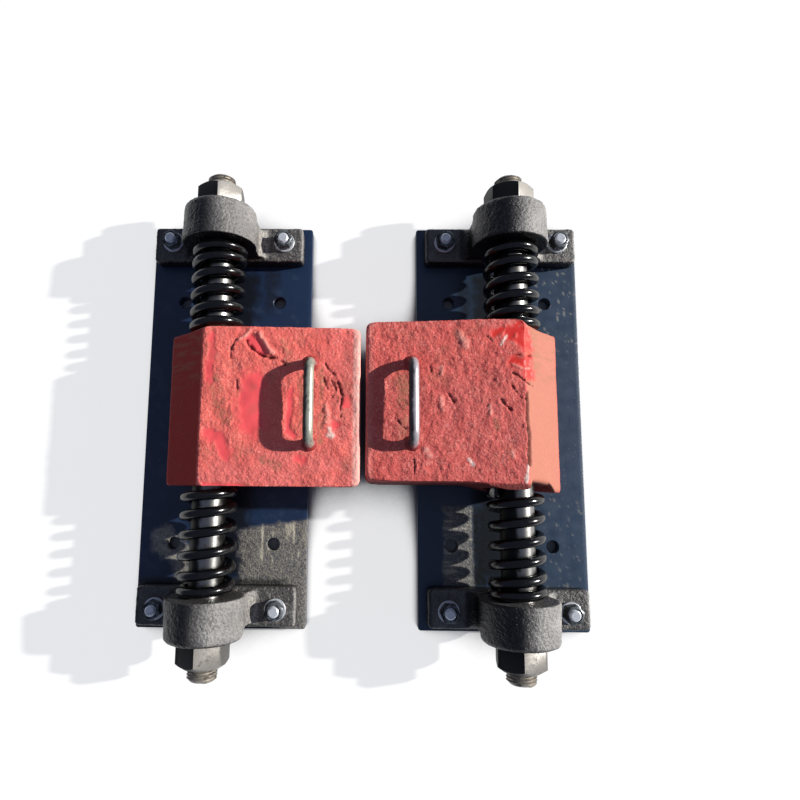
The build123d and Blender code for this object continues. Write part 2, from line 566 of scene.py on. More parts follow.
@dataclass(frozen=True)
class RedPaintOnCasting(Finish):
    """Thick brushed alkyd paint over a lumpy sand casting.

    Sand and scale stand through the film; the light and shade that they break into pale
    and wine-dark specks are painted into the colour, on the grit's crests and in its hollows.
    Where the paint pooled it is smooth, purer red and glossy.
    The real grit is near 1 mm; grit is drawn coarser, so that it still shows.
    """

    name: str = "red_alkyd_paint_on_sand_casting"
    sheen: float = 0.22
    body: str = "#f3685f"
    worn: str = "#f07a6c"
    dull: str = "#e8746d"
    shade: str = "#5c1a20"
    grit_highlight: str = "#ffc3b4"
    pooled: str = "#fb5d60"
    fold: str = "#f7bcab"
    soil: str = "#250d11"
    earth: str = "#9c6f55"
    bare: str = "#eadccf"
    weather: str = "#a3241c"
    grit: float = 2.7
    depth: float = 1.05

    def paint(self, coat: Coat) -> None:
        """Mixes body, wear, painted grit highlight and painted shade from the marks on the mesh.

        Args:
            coat: the material's nodes.
        """
        pool, weather = coat.read("pool"), coat.read("weather")
        grit, clump = coat.noise(self.grit, 2.0, 0.6), coat.noise(19, 4.0)
        # Pooled paint and the slope's rolled coat are smooth: no grit shows there.
        rough = coat.span(coat.most(coat.times(weather, 0.8), pool), 0, 1, 1, 0)
        # Painted shade in the grit's hollows and painted highlight on its crests, where the bump falls and
        # rises.
        dark = coat.times(coat.span(grit, 0.47, 0.36), rough)
        pale = coat.times(coat.span(grit, 0.53, 0.66), rough)
        pale = coat.times(pale, coat.span(clump, 0.4, 0.62, 0.25))
        dusky = coat.times(coat.span(clump, 0.5, 0.32), rough)
        layers = (
            (coat.read("thin"), self.dull, 0.8),
            (weather, self.weather, 0.93),
            (pool, self.pooled, 0.95),
            (dusky, self.shade, 0.08),
            (dark, self.shade, 0.15),
            # Painted shade in the relief's hollows.
            (coat.read("hollow"), self.shade, 0.16),
            (pale, self.grit_highlight, 0.3),
            (coat.read("fold"), self.fold, 0.5),
            (coat.read("earth"), self.earth, 0.75),
            # Soil in cracks and pits, with painted shade below the block and on its near face.
            (coat.read("soil"), self.soil, 0.95),
            (coat.read("bare"), self.bare, 0.75),
        )
        colour = coat.mix(coat.noise(38, 3.0), self.body, self.worn)
        for mask, over, strength in layers:
            colour = coat.mix(coat.times(mask, strength), colour, over)
        gloss = coat.span(pool, 0, 1, 0.68, 0.42)
        coat.finish(colour, gloss, coat.times(grit, rough), self.depth)


@dataclass(frozen=True)
class BlackPaintOnCasting(Finish):
    """Thin black paint on green-sand cast iron.

    The pebbled skin under the half glossy film scatters the sun into many small
    glints. Its pale tone is painted on: paler on the pebbles' crests and on the sides
    that face the sun, and nearly black on the faces that turn away from it.
    """

    name: str = "black_paint_on_sand_cast_iron"
    sheen: float = 0.4
    pit: str = "#0f0e0f"
    skin: str = "#a9a6a1"
    dust: str = "#aaa398"
    pebble: float = 3.0
    depth: float = 1.9
    gloss: float = 0.34

    def paint(self, coat: Coat) -> None:
        """Mixes a pale skin, black pits and rubbed places over pebbles of sand; the skin's share is
        painted light and shade.

        Args:
            coat: the material's nodes.
        """
        pebbles = coat.noise(self.pebble, 2.0, 0.55)
        # Painted light and shade: the pale skin's share is high on the pebbles' crests and the sunlit
        # sides, low in the hollows and on faces turned from the sun.
        share = coat.times(coat.span(pebbles, 0.36, 0.58, 0.62), coat.read("dusty"))
        rubbed = coat.times(coat.span(pebbles, 0.46, 0.56), coat.read("worn"))
        colour = coat.mix(rubbed, coat.mix(share, self.pit, self.skin), self.dust)
        coat.finish(colour, coat.span(share, 0, 1, self.gloss, 0.62), pebbles, self.depth)


@dataclass(frozen=True)
class NavyPlatePaint(Finish):
    """Satin navy paint rolled on hot-rolled plate, scraped to grey steel near the holes.

    Where it is scraped, the scale's grain shows as light and dark grit with long
    pale scores across it.
    """

    name: str = "navy_satin_paint_on_rolled_plate"
    body: str = "#1b3150"
    deep: str = "#14233d"
    metal: str = "#4c4943"
    bright: str = "#969187"
    scratch: str = "#d2ccb4"
    grease: str = "#0d0c0b"
    dust: str = "#6d7c8c"

    def paint(self, coat: Coat) -> None:
        """Mixes paint, scraped metal, scratches, grease and dust from the plate's marks.

        Args:
            coat: the material's nodes.
        """
        scraped, chalky = coat.read("scraped"), coat.read("chalky")
        cloud, fine = coat.noise(60, 4.0), coat.noise(2.6, 3.0, 0.6)
        specks = {"Vector": coat.where, "Scale": per_mm(10), "Randomness": 1.0}
        dots = add(coat.tree, "TexVoronoi", specks).outputs["Distance"]
        dusty = coat.span(dots, 0.13, 0.06, 0.0, 0.8)
        dusty = coat.times(dusty, coat.most(coat.span(cloud, 0.55, 0.7), chalky))
        layers = (
            (coat.times(chalky, 0.18), self.dust),
            (dusty, self.dust),
            (scraped, coat.mix(coat.span(fine, 0.32, 0.68), self.metal, self.bright)),
            (coat.read("scored"), self.scratch),
            (coat.read("greasy"), self.grease),
        )
        colour = coat.mix(cloud, self.deep, self.body)
        for mask, over in layers:
            colour = coat.mix(mask, colour, over)
        height = coat.times(fine, coat.span(scraped, 0, 1, 0.15))
        coat.finish(colour, coat.span(scraped, 0, 1, 0.38, 0.6), height, 1.4)


@dataclass(frozen=True)
class BlackSpringEnamel(Finish):
    """Dipped black enamel on spring steel: deep and glossy, with runs and a little grease."""

    name: str = "black_dip_enamel_on_spring_steel"
    body: str = "#040405"
    film: str = "#131211"

    def paint(self, coat: Coat) -> None:
        """Mixes enamel and a thin greasy film.

        Args:
            coat: the material's nodes.
        """
        veil = coat.span(coat.noise(16, 5.0, 0.6), 0.5, 0.72, 0.0, 0.7)
        colour = coat.mix(veil, self.body, self.film)
        coat.finish(colour, coat.span(veil, 0, 1, 0.21, 0.36), coat.noise(5, 2.0), 0.5, 0.4)


@dataclass(frozen=True)
class WorkedSteel(Finish):
    """Bare steel in one of its states: drawn bar, forged nut, zinc or weathered rod."""

    name: str = "bright_drawn_bar"
    metallic: float = 1.0
    body: str = "#8b8a87"
    stain: str = "#454341"
    # Colour of old grease, which pieces also lay as painted shade on their sides turned from the sun.
    grease: str = "#090808"
    smooth: float = 0.3
    dull: float = 0.5
    stained: float = 0.35
    patch: float = 14.0
    tool_mark: float = 1.2
    depth: float = 0.15

    def paint(self, coat: Coat) -> None:
        """Mixes bright metal and stain over fine tool marks, with old grease and painted shade over both
        where the piece marks them.

        Args:
            coat: the material's nodes.
        """
        low = 0.66 - 0.3 * self.stained
        stains = coat.span(coat.noise(self.patch, 5.0, 0.6), low, low + 0.16)
        greased = coat.read("greased")
        colour = coat.mix(greased, coat.mix(stains, self.body, self.stain), self.grease)
        rough = coat.span(coat.most(stains, greased), 0, 1, self.smooth, self.dull)
        coat.finish(colour, rough, coat.noise(self.tool_mark, 3.0), self.depth, 0.6)


@dataclass(frozen=True)
class PaleFloor(Finish):
    """Matt pale studio floor that keeps the shadow of what stands on it."""

    name: str = "matt_pale_floor"
    colour: str = "#969696"
    own_light: float = 0.74
    closed_in: float = 0.12

    def paint(self, coat: Coat) -> None:
        """Lets camera, gloss and glass see the floor near white.

        Args:
            coat: the material's nodes.
        """
        tree, shader = coat.tree, coat.shader
        shader.inputs["Base Color"].default_value = linear(self.colour)
        shader.inputs["Roughness"].default_value = 0.9
        ray = add(tree, "LightPath").outputs
        seen = coat.most(ray["Is Camera Ray"], ray["Is Glossy Ray"])
        seen = coat.most(seen, ray["Is Transmission Ray"])
        # Deep in a hole or a gap, closed in by the part, the floor has no light of its own.
        near = add(tree, "AmbientOcclusion", {"Distance": self.closed_in}, samples=16).outputs["AO"]
        share = coat.times(coat.times(seen, self.own_light), coat.span(near, 0.42, 0.7))
        glow = add(tree, "Emission", {"Strength": share}).outputs[0]
        both = add(tree, "AddShader", {0: shader.outputs[0], 1: glow}).outputs[0]
        out = next(n for n in tree.nodes if n.type == "OUTPUT_MATERIAL")
        tree.links.new(both, out.inputs["Surface"])


RED_PAINT = RedPaintOnCasting()
SUNNY_RED_PAINT = RedPaintOnCasting(
    "red_alkyd_paint_on_sand_casting_faded",
    body="#d2544e",
    worn="#d96a60",
    dull="#c8625c",
    pooled="#d6312b",
    weather="#bd7964",
    depth=1.3,
)
GREY_CASTING = BlackPaintOnCasting("black_paint_on_sand_cast_iron_dusty", skin="#96938f", pebble=3.4)
BLACK_CASTING = BlackPaintOnCasting("black_paint_on_sand_cast_iron_clean", gloss=0.36)
NAVY_PAINT = NavyPlatePaint()
FADED_NAVY_PAINT = NavyPlatePaint("navy_satin_paint_on_rolled_plate_faded", body="#283f58", deep="#1a2b3d")
SPRING_ENAMEL = BlackSpringEnamel()
BRIGHT_BAR = WorkedSteel()
FORGED_NUT = WorkedSteel(
    "planed_nut_steel",
    metallic=0.3,
    body="#a09c94",
    stain="#736e67",
    smooth=0.4,
    dull=0.55,
    patch=7.0,
    tool_mark=3.2,
    depth=0.35,
)
WEATHERED_NUT = replace(
    FORGED_NUT,
    name="planed_nut_steel_weathered",
    body="#8b8780",
    stain="#625e58",
    smooth=0.44,
    dull=0.58,
    stained=0.45,
)
CUT_THREAD = WorkedSteel(
    "cut_thread_steel",
    metallic=0.5,
    body="#9b9488",
    stain="#2e2925",
    smooth=0.42,
    dull=0.6,
    stained=0.5,
    patch=6.0,
)
ZINC = WorkedSteel(
    "blue_white_zinc_plate",
    metallic=0.4,
    body="#d5d9dd",
    stain="#848c92",
    smooth=0.34,
    dull=0.46,
    stained=0.3,
    patch=4.0,
    depth=0.12,
)
GRIMY_ZINC = replace(
    ZINC, name="grimy_zinc_plate", body="#6e7478", stain="#23262a", dull=0.52, stained=0.7, patch=5.0
)
ROD = WorkedSteel(
    "weathered_mild_steel_rod",
    metallic=0.4,
    body="#a9aa9a",
    stain="#75736a",
    smooth=0.42,
    dull=0.6,
    stained=0.45,
    patch=5.0,
    tool_mark=3.0,
    depth=0.3,
)
SMOOTH_ROD = WorkedSteel(
    "handled_mild_steel_rod",
    metallic=0.45,
    body="#bab3b6",
    stain="#867c80",
    smooth=0.36,
    stained=0.25,
    patch=9.0,
    tool_mark=3.0,
)
WELD = WorkedSteel(
    "painted_weld_bead",
    metallic=0.0,
    body="#9a3532",
    stain="#4a1d1b",
    smooth=0.5,
    dull=0.7,
    tool_mark=2.5,
    depth=0.5,
)


# Sub-assemblies


@dataclass(frozen=True)
class HexNut:
    """Forged hexagon nut with chamfered faces, made on the origin along Z."""

    flats: float
    height: float
    bore: float
    chamfer: float
    turn_deg: float
    lee: Flat = (-0.1, -0.4)
    crown: Flat = (0.0, 0.0)
    rusty: float = 0.0

    def make(self, name: str, place: Matrix) -> Object:
        """Makes the nut and sets it in its place.

        Args:
            name: the object's name.
            place: takes the nut from the origin to its seat, in millimetres.

        Returns:
            The nut as a piece.
        """
        corner = self.flats / sqrt(3)
        bm = bmesh.new()
        ring = bmesh.ops.create_circle(bm, cap_ends=True, radius=corner, segments=6)["verts"]
        bmesh.ops.rotate(bm, verts=ring, matrix=Matrix.Rotation(radians(self.turn_deg), 3, "Z"))
        drawn_out(bm, (0, 0, self.height))
        closed(bm)
        nut = piece(name, bm)
        outer, inner, h, c = corner + 0.02, self.bore / 2, self.height, self.chamfer
        # A crown, where there is one, cuts the outer end's corners back further than the chamfer does.
        wide, deep = self.crown if self.crown[0] else (2 * c, c)
        eye = ((inner, 1.2), (inner + 1.2, 0))
        low = eye + ((outer - 2 * c, 0), (outer, c))
        high = eye + ((outer - wide, 0), (outer, deep))
        shape = [(r, 0, z) for r, z in low] + [(r, 0, h - z) for r, z in reversed(high)]
        turned = bmesh.new()
        lathe(turned, shape, (0, 0, 0), ALONG_Z, 72, True)
        carve(nut, turned, "INTERSECT")
        worked(nut, "BEVEL", width=0.5 * MM, segments=2, limit_method="ANGLE", angle_limit=radians(35))
        nut.data.transform(Matrix.Scale(MM, 4) @ place @ Matrix.Scale(1 / MM, 4))
        shaded(nut.data, 30)
        # Facets turned from the sun, as lee sets, take the grease colour as painted shade; on a rusty nut
        # the facets that face far right take it as rust.
        side = np.array([f.normal.x for f in nut.data.polygons])
        rust = 0.7 * self.rusty * ramp(0.95, 0.985, side)
        layer = nut.data.attributes.new("greased", "FLOAT", "FACE")
        layer.data.foreach_set("value", np.maximum(ramp(*self.lee, side), rust).astype(np.float32))
        return nut


@dataclass(frozen=True)
class ScrewThread:
    """Coarse V thread that winds up a bar along Z from the origin."""

    crest: float
    root: float
    pitch: float
    turns: float
    steps_a_turn: int = 32

    def wind(self, bm: BMesh, start: float) -> None:
        """Winds the thread into a mesh.

        Args:
            bm: mesh that takes the thread.
            start: height of its first turn.
        """
        half, foot = self.pitch * 0.46, self.root - 0.6
        outline = ((foot, 0, start - half), (self.crest, 0, start), (foot, 0, start + half))
        verts = [bm.verts.new(p) for p in outline]
        bm.faces.new(verts)
        edges = [e for v in verts for e in v.link_edges]
        steps = int(self.turns * self.steps_a_turn)
        others = set(bm.verts) - set(verts)
        bmesh.ops.spin(
            bm,
            geom=verts + list(set(edges)) + list(verts[0].link_faces),
            cent=(0, 0, 0),
            axis=ALONG_Z,
            dvec=(0, 0, self.turns * self.pitch / steps),
            angle=2 * pi * self.turns,
            steps=steps,
            use_duplicate=False,
        )
        end = start + self.turns * self.pitch
        for v in (v for v in bm.verts if v not in others):
            out = hypot(v.co.x, v.co.y)
            fade = min(1.0, max(0.0, (end + half - v.co.z) / (self.pitch * 0.9)))
            if out > self.root:
                keep = (self.root + (out - self.root) * fade) / out
                v.co.x *= keep
                v.co.y *= keep


@dataclass
class Shaft:
    """Bright bar through both pedestals, with threaded ends and a nut on each.

    Where a field has two values, the far end's comes first.
    """

    hand: Hand
    nut_turns: Flat
    tips: Flat
    bar_r: float = 22.5
    thread_r: float = 19.4
    root_r: float = 17.2
    thread_run: float = 26.5
    shoulder_y: float = 293.2
    nut_y: float = 293.35
    nut_height: float = 31.9

    def build(self) -> None:
        """Makes the bar and its two nuts."""
        bm = bmesh.new()
        far, near = self.tips
        near_half = [(r, 0, -y) for r, _, y in reversed(self.outline(near))]
        lathe(bm, self.outline(far) + near_half, (0, 0, 0), ALONG_Z, 64, False)
        thread = ScrewThread(self.thread_r, self.root_r, pitch=4.0, turns=6.2)
        thread.wind(bm, far - self.thread_run)
        bmesh.ops.rotate(bm, verts=bm.verts, matrix=Matrix.Rotation(pi, 3, "X"))
        thread.wind(bm, near - self.thread_run)
        closed(bm)
        bmesh.ops.rotate(bm, verts=bm.verts, matrix=Matrix.Rotation(radians(90), 3, "X"))
        bmesh.ops.translate(bm, verts=bm.verts, vec=(self.hand.axis_x, 0, AXIS_Z))
        word = self.hand.word
        bar = piece(f"{word}_bar", bm)
        self.grease(bar.data)
        dressed(bar, BRIGHT_BAR, "shaft_steel", f"{word}_shaft", f"{word}_shaft")
        bar.data.materials.append(CUT_THREAD.material())
        for face in bar.data.polygons:
            if abs(face.center.y) > self.shoulder_y * MM:
                face.material_index = 1
        shape = HexNut(
            flats=60.0,
            height=self.nut_height,
            bore=39.2,
            chamfer=2.6,
            turn_deg=0.0,
            lee=(0.05, -0.25),
            crown=(9.5, 6.5),
            rusty=1.0,
        )
        for end, nut_turn, finish in zip(End, self.nut_turns, (FORGED_NUT, WEATHERED_NUT)):
            seat = Matrix.Translation((self.hand.axis_x, end.value * self.nut_y, AXIS_Z))
            # The nut's own Z becomes the way out of the part; then its top corner leans towards +X.
            tip = Matrix.Rotation(radians(-90 * end.value), 4, "X")
            turn = Matrix.Rotation(radians(nut_turn), 4, "Y")
            nut = shape.make(f"{word}_{end.word}_big_nut", seat @ turn @ tip)
            dressed(nut, finish, "nut_steel", f"{word}_shaft", f"{word}_{end.word}_shaft_nut")

    def outline(self, tip: float) -> list[Point]:
        """Outline of one half of the bar, from its tip to the middle.

        Args:
            tip: where the threaded end stops.

        Returns:
            Corners with the radius as X and the way along the bar as Z.
        """
        r, shoulder = self.root_r, self.shoulder_y
        threaded = [(0, tip), (r - 2.6, tip), (r, tip - 2.6), (r, shoulder)]
        rings = [(self.bar_r, float(y)) for y in np.linspace(shoulder - 0.8, 4.0, 48)]
        return [(r, 0, y) for r, y in threaded + [(self.bar_r - 0.8, shoulder)] + rings]

    def grease(self, mesh: Mesh) -> None:
        """Marks old grease and painted shade on the bar, all round but for the bright strip on top where
        the sun's highlight falls.

        Args:
            mesh: the bar's mesh, in metres.
        """
        at = points_of(mesh)
        side = (at[:, 0] - self.hand.axis_x) / self.bar_r
        side = side + 0.16 * grain(at, 9, 4.0 + self.hand.value, 3)
        low = ramp(AXIS_Z + 10, AXIS_Z - 2, at[:, 2])
        # Dark on both flanks and underneath: old grease, with painted shade where the bar turns from the
        # sun.
        old = np.maximum(np.maximum(ramp(-0.12, -0.34, side), ramp(0.72, 0.9, side)), low)
        mark(mesh, "greased", 0.92 * old * ramp(self.shoulder_y, BOSS_INNER_Y, np.abs(at[:, 1])))


@dataclass
class FootStud:
    """Stud, washer and nut that hold one corner of a pedestal's foot."""

    hand: Hand
    end: End
    side: Side
    spacing: float = 166.0
    y: float = 264.0
    bar_r: float = 8.0
    thread_run: float = 8.2
    top_z: float = 58.0
    washer_r: float = 15.0
    washer_t: float = 3.0

    def build(self, turn_deg: float) -> None:
        """Makes the three parts.

        Args:
            turn_deg: how far the nut happens to be turned.
        """
        name = f"{self.hand.word}_{self.end.word}_{self.side.word}"
        x = self.hand.value * (FOOT_MIDDLE_X + self.side.value * self.spacing / 2)
        place = Matrix.Translation((x, self.end.value * self.y, 0))
        bm = bmesh.new()
        r, tip = self.bar_r - 1.1, self.top_z
        rod = ((0, 0, 1), (r, 0, 1), (r, 0, tip - 1.2), (r - 1.2, 0, tip), (0, 0, tip))
        lathe(bm, rod, (0, 0, 0), ALONG_Z, 32, False)
        ScrewThread(self.bar_r - 0.1, r, pitch=2.0, turns=3.4).wind(bm, tip - self.thread_run)
        closed(bm)
        bmesh.ops.transform(bm, matrix=place, verts=bm.verts)
        dressed(piece(name + "_bolt_end", bm), ZINC, "zinc", "base", name + "_stud")
        bm = bmesh.new()
        inner, outer, low = self.bar_r + 0.5, self.washer_r - 0.05, FOOT_TOP + 0.02
        high = low + self.washer_t - 0.04
        flat = ((inner, 0, low), (outer, 0, low), (outer, 0, high), (inner, 0, high))
        lathe(bm, flat, (0, 0, 0), ALONG_Z, 48, True)
        closed(bm)
        ease(bm, 0.6, 3)
        bmesh.ops.transform(bm, matrix=place, verts=bm.verts)
        dressed(piece(name + "_flat_washer", bm), ZINC, "zinc", "base", name + "_washer")
        seat = place @ Matrix.Translation((0, 0, FOOT_TOP + self.washer_t + 0.02))
        shape = HexNut(flats=23.9, height=14.7, bore=16.2, chamfer=1.9, turn_deg=turn_deg)
        nut = shape.make(name + "_hex_nut", seat)
        dressed(nut, GRIMY_ZINC, "zinc", "base", name + "_nut")


@dataclass
class CoilSpring:
    """Open compression spring, wound right-handed, with its end coils closed."""

    hand: Hand
    end: End
    crowns: tuple[float, ...]
    aside: float = 0.0
    wire_r: float = 6.5
    mean_r: float = 31.5
    steps: int = 12

    def build(self) -> None:
        """Winds the wire through its crowns, the places where it passes over the shaft."""
        sign = self.end.value
        block_end = self.hand.block_ends[1 if sign > 0 else 0]
        seat = abs(block_end) + END_FLOAT + self.wire_r
        stop = BOSS_INNER_Y - END_FLOAT - self.wire_r
        heights, first_turn = self.climb(seat, stop)
        bm = bmesh.new()
        centre = Vector((self.hand.axis_x + self.aside, 0, AXIS_Z))
        wire = bmesh.ops.create_circle(bm, cap_ends=True, radius=self.wire_r, segments=20)
        # The wire's section stands in the plane of the shaft's axis: X becomes Y, and Y the outward way.
        raised = Matrix.Rotation(radians(90), 3, "Y") @ Matrix.Rotation(radians(90), 3, "Z")
        bmesh.ops.rotate(bm, verts=wire["verts"], matrix=raised)
        bmesh.ops.translate(bm, verts=wire["verts"], vec=(0, 0, self.mean_r))
        bmesh.ops.rotate(bm, verts=bm.verts, matrix=Matrix.Rotation(2 * pi * first_turn * sign, 3, "Y"))
        bmesh.ops.translate(bm, verts=bm.verts, vec=centre + Vector((0, sign * heights[0], 0)))
        last = list(bm.faces) + list(bm.edges) + list(bm.verts)
        for here, there in zip(heights, heights[1:]):
            last = bmesh.ops.spin(
                bm,
                geom=last,
                cent=centre,
                axis=(0, float(sign), 0),
                dvec=(0, sign * (there - here) / self.steps, 0),
                angle=pi / 2,
                steps=self.steps,
                use_duplicate=False,
            )["geom_last"]
        closed(bm)
        name = f"{self.hand.word}_{self.end.word}"
        spring = piece(name + "_coil", bm, 50)
        dressed(spring, SPRING_ENAMEL, "spring_black", None, name + "_spring")
        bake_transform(spring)

    def climb(self, seat: float, stop: float) -> tuple[Array, float]:
        """How far along the shaft the wire lies after each quarter turn.

        Args:
            seat: its lowest place, against the block.
            stop: its last place, against the pedestal.

        Returns:
            The places from seat to stop, and the turn that the first one belongs to.
        """
        crowns = [max(abs(y), seat) for y in self.crowns]
        closed_pitch = 2 * self.wire_r
        lead = min(0.8, max(0.25, (crowns[0] - seat) / closed_pitch))
        turns = [-lead] + list(range(len(crowns))) + [len(crowns) - 1 + 0.7]
        along = [max(seat, crowns[0] - closed_pitch * lead)] + crowns + [stop]
        heights = np.interp(np.arange(turns[0], turns[-1] + 1e-6, 0.25), turns, along)
        for _ in range(2):
            heights[1:-1] = (heights[:-2] + 2 * heights[1:-1] + heights[2:]) / 4
        return np.clip(heights, seat, stop), turns[0]


@dataclass
class Pedestal:
    """Sand-cast pedestal: foot, flared web and round boss in one casting."""

    hand: Hand
    end: End
    finish: Finish
    rubbed: float
    foot_x: float = 222.0
    foot_y: float = 54.0
    foot_mid_y: float = 261.0
    boss_r: float = 52.0
    boss_draft: float = 2.0
    boss_rim: float = 7.0
    boss_seat_rim: float = 2.0
    web_half: float = 49.5
    web_depth: float = 44.0
    toe_r: float = 13.5
    bore_r: float = 22.58
    drilled_past: float = 20.0
    voxel: float = 1.5

    def build(self) -> None:
        """Makes the casting from overlapping forms grown into one skin."""
        sign = self.end.value
        bm = bmesh.new()
        self.add_foot(bm)
        self.add_web(bm)
        self.add_boss(bm)
        name = f"{self.hand.word}_{self.end.word}"
        casting = piece(name + "_pedestal", bm)
        skinned(casting, self.voxel, 4)
        self.weather(casting.data)
        run = (sign * (BOSS_INNER_Y - self.drilled_past), sign * (BOSS_OUTER_Y + self.drilled_past))
        bored(casting, self.hand.axis_x, run, self.bore_r, 50)
        dressed(casting, self.finish, "cast_black", "base", name + "_bracket")

    def add_foot(self, bm: BMesh) -> None:
        """Adds the foot, a slab with rounded corners and a rounded upper rim."""
        x, y = self.hand.value * FOOT_MIDDLE_X, self.end.value * self.foot_mid_y
        add_box(bm, (self.foot_x, self.foot_y, FOOT_TOP - PLATE_TOP), (x, y, (PLATE_TOP + FOOT_TOP) / 2))
        ease(bm, 6.0, 4, upright)
        ease(bm, 3.6, 3, lambda e: min(v.co.z for v in e.verts) > FOOT_TOP - 0.1)

    def add_web(self, bm: BMesh) -> None:
        """Adds the web: one side's outline with its toe swept as an arc, drawn out and mirrored.

        Args:
            bm: the casting.
        """
        web = bmesh.new()
        wide = self.web_half + self.toe_r
        toe = web.verts.new((wide, 0, FOOT_TOP))
        hub = (wide, 0, FOOT_TOP + self.toe_r)
        crown = bmesh.ops.spin(web, geom=[toe], cent=hub, axis=ALONG_Y, angle=pi / 2, steps=8)
        corners = ((self.web_half, AXIS_Z), (0, AXIS_Z), (0, FOOT_TOP - 8), (wide, FOOT_TOP - 8))
        run = [crown["geom_last"][0], *(web.verts.new((x, 0, z)) for x, z in corners), toe]
        for pair in zip(run, run[1:]):
            web.edges.new(pair)
        bmesh.ops.contextual_create(web, geom=web.edges[:])
        drawn_out(web, (0, self.web_depth, 0))
        bmesh.ops.mirror(web, geom=web.verts[:] + web.edges[:] + web.faces[:], axis="X", merge_dist=0.01)
        closed(web)
        inside = [f for f in web.faces if all(abs(v.co.x) < 0.01 for v in f.verts)]
        bmesh.ops.delete(web, geom=inside, context="FACES")
        closed(web)
        place = (self.hand.axis_x, self.end.value * self.foot_mid_y - self.web_depth / 2, 0)
        bmesh.ops.translate(web, vec=place, verts=web.verts)
        held = bpy.data.meshes.new("web")
        web.to_mesh(held)
        web.free()
        bm.from_mesh(held)
        bpy.data.meshes.remove(held)

    def add_boss(self, bm: BMesh) -> None:
        """Adds the boss, a little narrower and well rounded at its outer end.

        Args:
            bm: the casting.
        """
        sign, axis = self.end.value, self.hand.axis_x
        held = set(bm.verts)
        r, near, far = self.boss_r, BOSS_INNER_Y, BOSS_OUTER_Y
        outline = ((0, near), (r, near), (r - self.boss_draft, far), (0, far))
        round_it = [(axis, sign * y, AXIS_Z + out) for out, y in outline]
        lathe(bm, round_it, (axis, 0, AXIS_Z), ALONG_Y, 72, False)
        closed(bm)
        rim = set(bm.verts) - held

        def at(y: float) -> Callable[[BMEdge], bool]:
            """Picks the edges of the boss that lie round its end at y."""
            return lambda e: all(v in rim and abs(v.co.y - sign * y) < 0.01 for v in e.verts)

        ease(bm, self.boss_rim, 6, at(far))
        rim = {v for v in bm.verts if v not in held}
        ease(bm, self.boss_seat_rim, 3, at(near))

    def weather(self, mesh: Mesh) -> None:
        """Gives the casting its uneven skin, marks where it is rubbed, and marks its pale tone, painted
        paler towards the sun and dark on the faces turned away.

        Args:
            mesh: the casting's mesh, in metres.
        """
        at, out = points_of(mesh), normals_of(mesh)
        free = ramp(PLATE_TOP + 0.5, PLATE_TOP + 3, at[:, 2])
        seed = 1.0 + self.hand.value * 0.31 + self.end.value * 0.17
        skin = 0.6 * grain(at, 22, seed, 2) + 0.55 * grain(at, 5.0, seed + 2, 2)
        flat = 1.0 - 0.6 * ramp(0.7, 0.95, np.abs(out[:, 1]))
        push(mesh, at, out, (skin * flat - 0.35) * free)
        from_axis = at[:, 0] - self.hand.axis_x
        toe = ramp(20, 6, np.hypot(np.abs(from_axis) - self.web_half - 5, at[:, 2] - FOOT_TOP - 4))
        # The web's toes are rubbed paler, and painted paler still on the flanks that face the sun.
        sunny = ramp(-0.1, 0.55, out[:, 0])
        patchy = 0.55 + 0.9 * grain(at, 9, seed + 5, 3)
        outer = ramp(self.web_half + 8, self.web_half + 22, from_axis)
        slab = outer * ramp(FOOT_TOP - 5, FOOT_TOP - 1, at[:, 2]) * (1.0 - toe)
        speckled = 0.4 * slab * ramp(-0.1, 0.3, grain(at, 6, seed + 9, 3))
        mark(mesh, "worn", self.rubbed * (toe * sunny * patchy + speckled))
        # Painted light and shade: the skin is paler where it looks up or to the sunny right, and painted
        # black on faces turned from the sun, on those towards -Y and low on the foot's sides.
        lee = ramp(-0.3, 0.42, out[:, 0]) * ramp(-0.8, -0.35, out[:, 1])
        dusty = lee * (0.8 + 0.3 * grain(at, 30, seed + 7, 2))
        mark(mesh, "dusty", dusty * ramp(PLATE_TOP, FOOT_TOP, at[:, 2]))


class Scar(Enum):
    """What happened to the casting's skin at one place."""

    CRACK = "open crack, dark inside"
    POOL = "smooth paint that pooled"
    CHIP = "bare bright metal"
    PIT = "rough hollow with soil"
    FOLD = "raised pale fold"
    EARTH = "ochre dirt"


@dataclass(frozen=True)
class Mark:
    """One scar along a line on the block's top; width is the distance from its middle to its edge."""

    kind: Scar
    width: float
    depth: float
    line: tuple[Flat, ...]


def scarred(kind: Scar, *rows: tuple[float, ...]) -> tuple[Mark, ...]:
    """Marks of one kind; a row has the width, the depth, then X and Y of each corner."""
    return tuple(Mark(kind, row[0], row[1], tuple(zip(row[2::2], row[3::2]))) for row in rows)


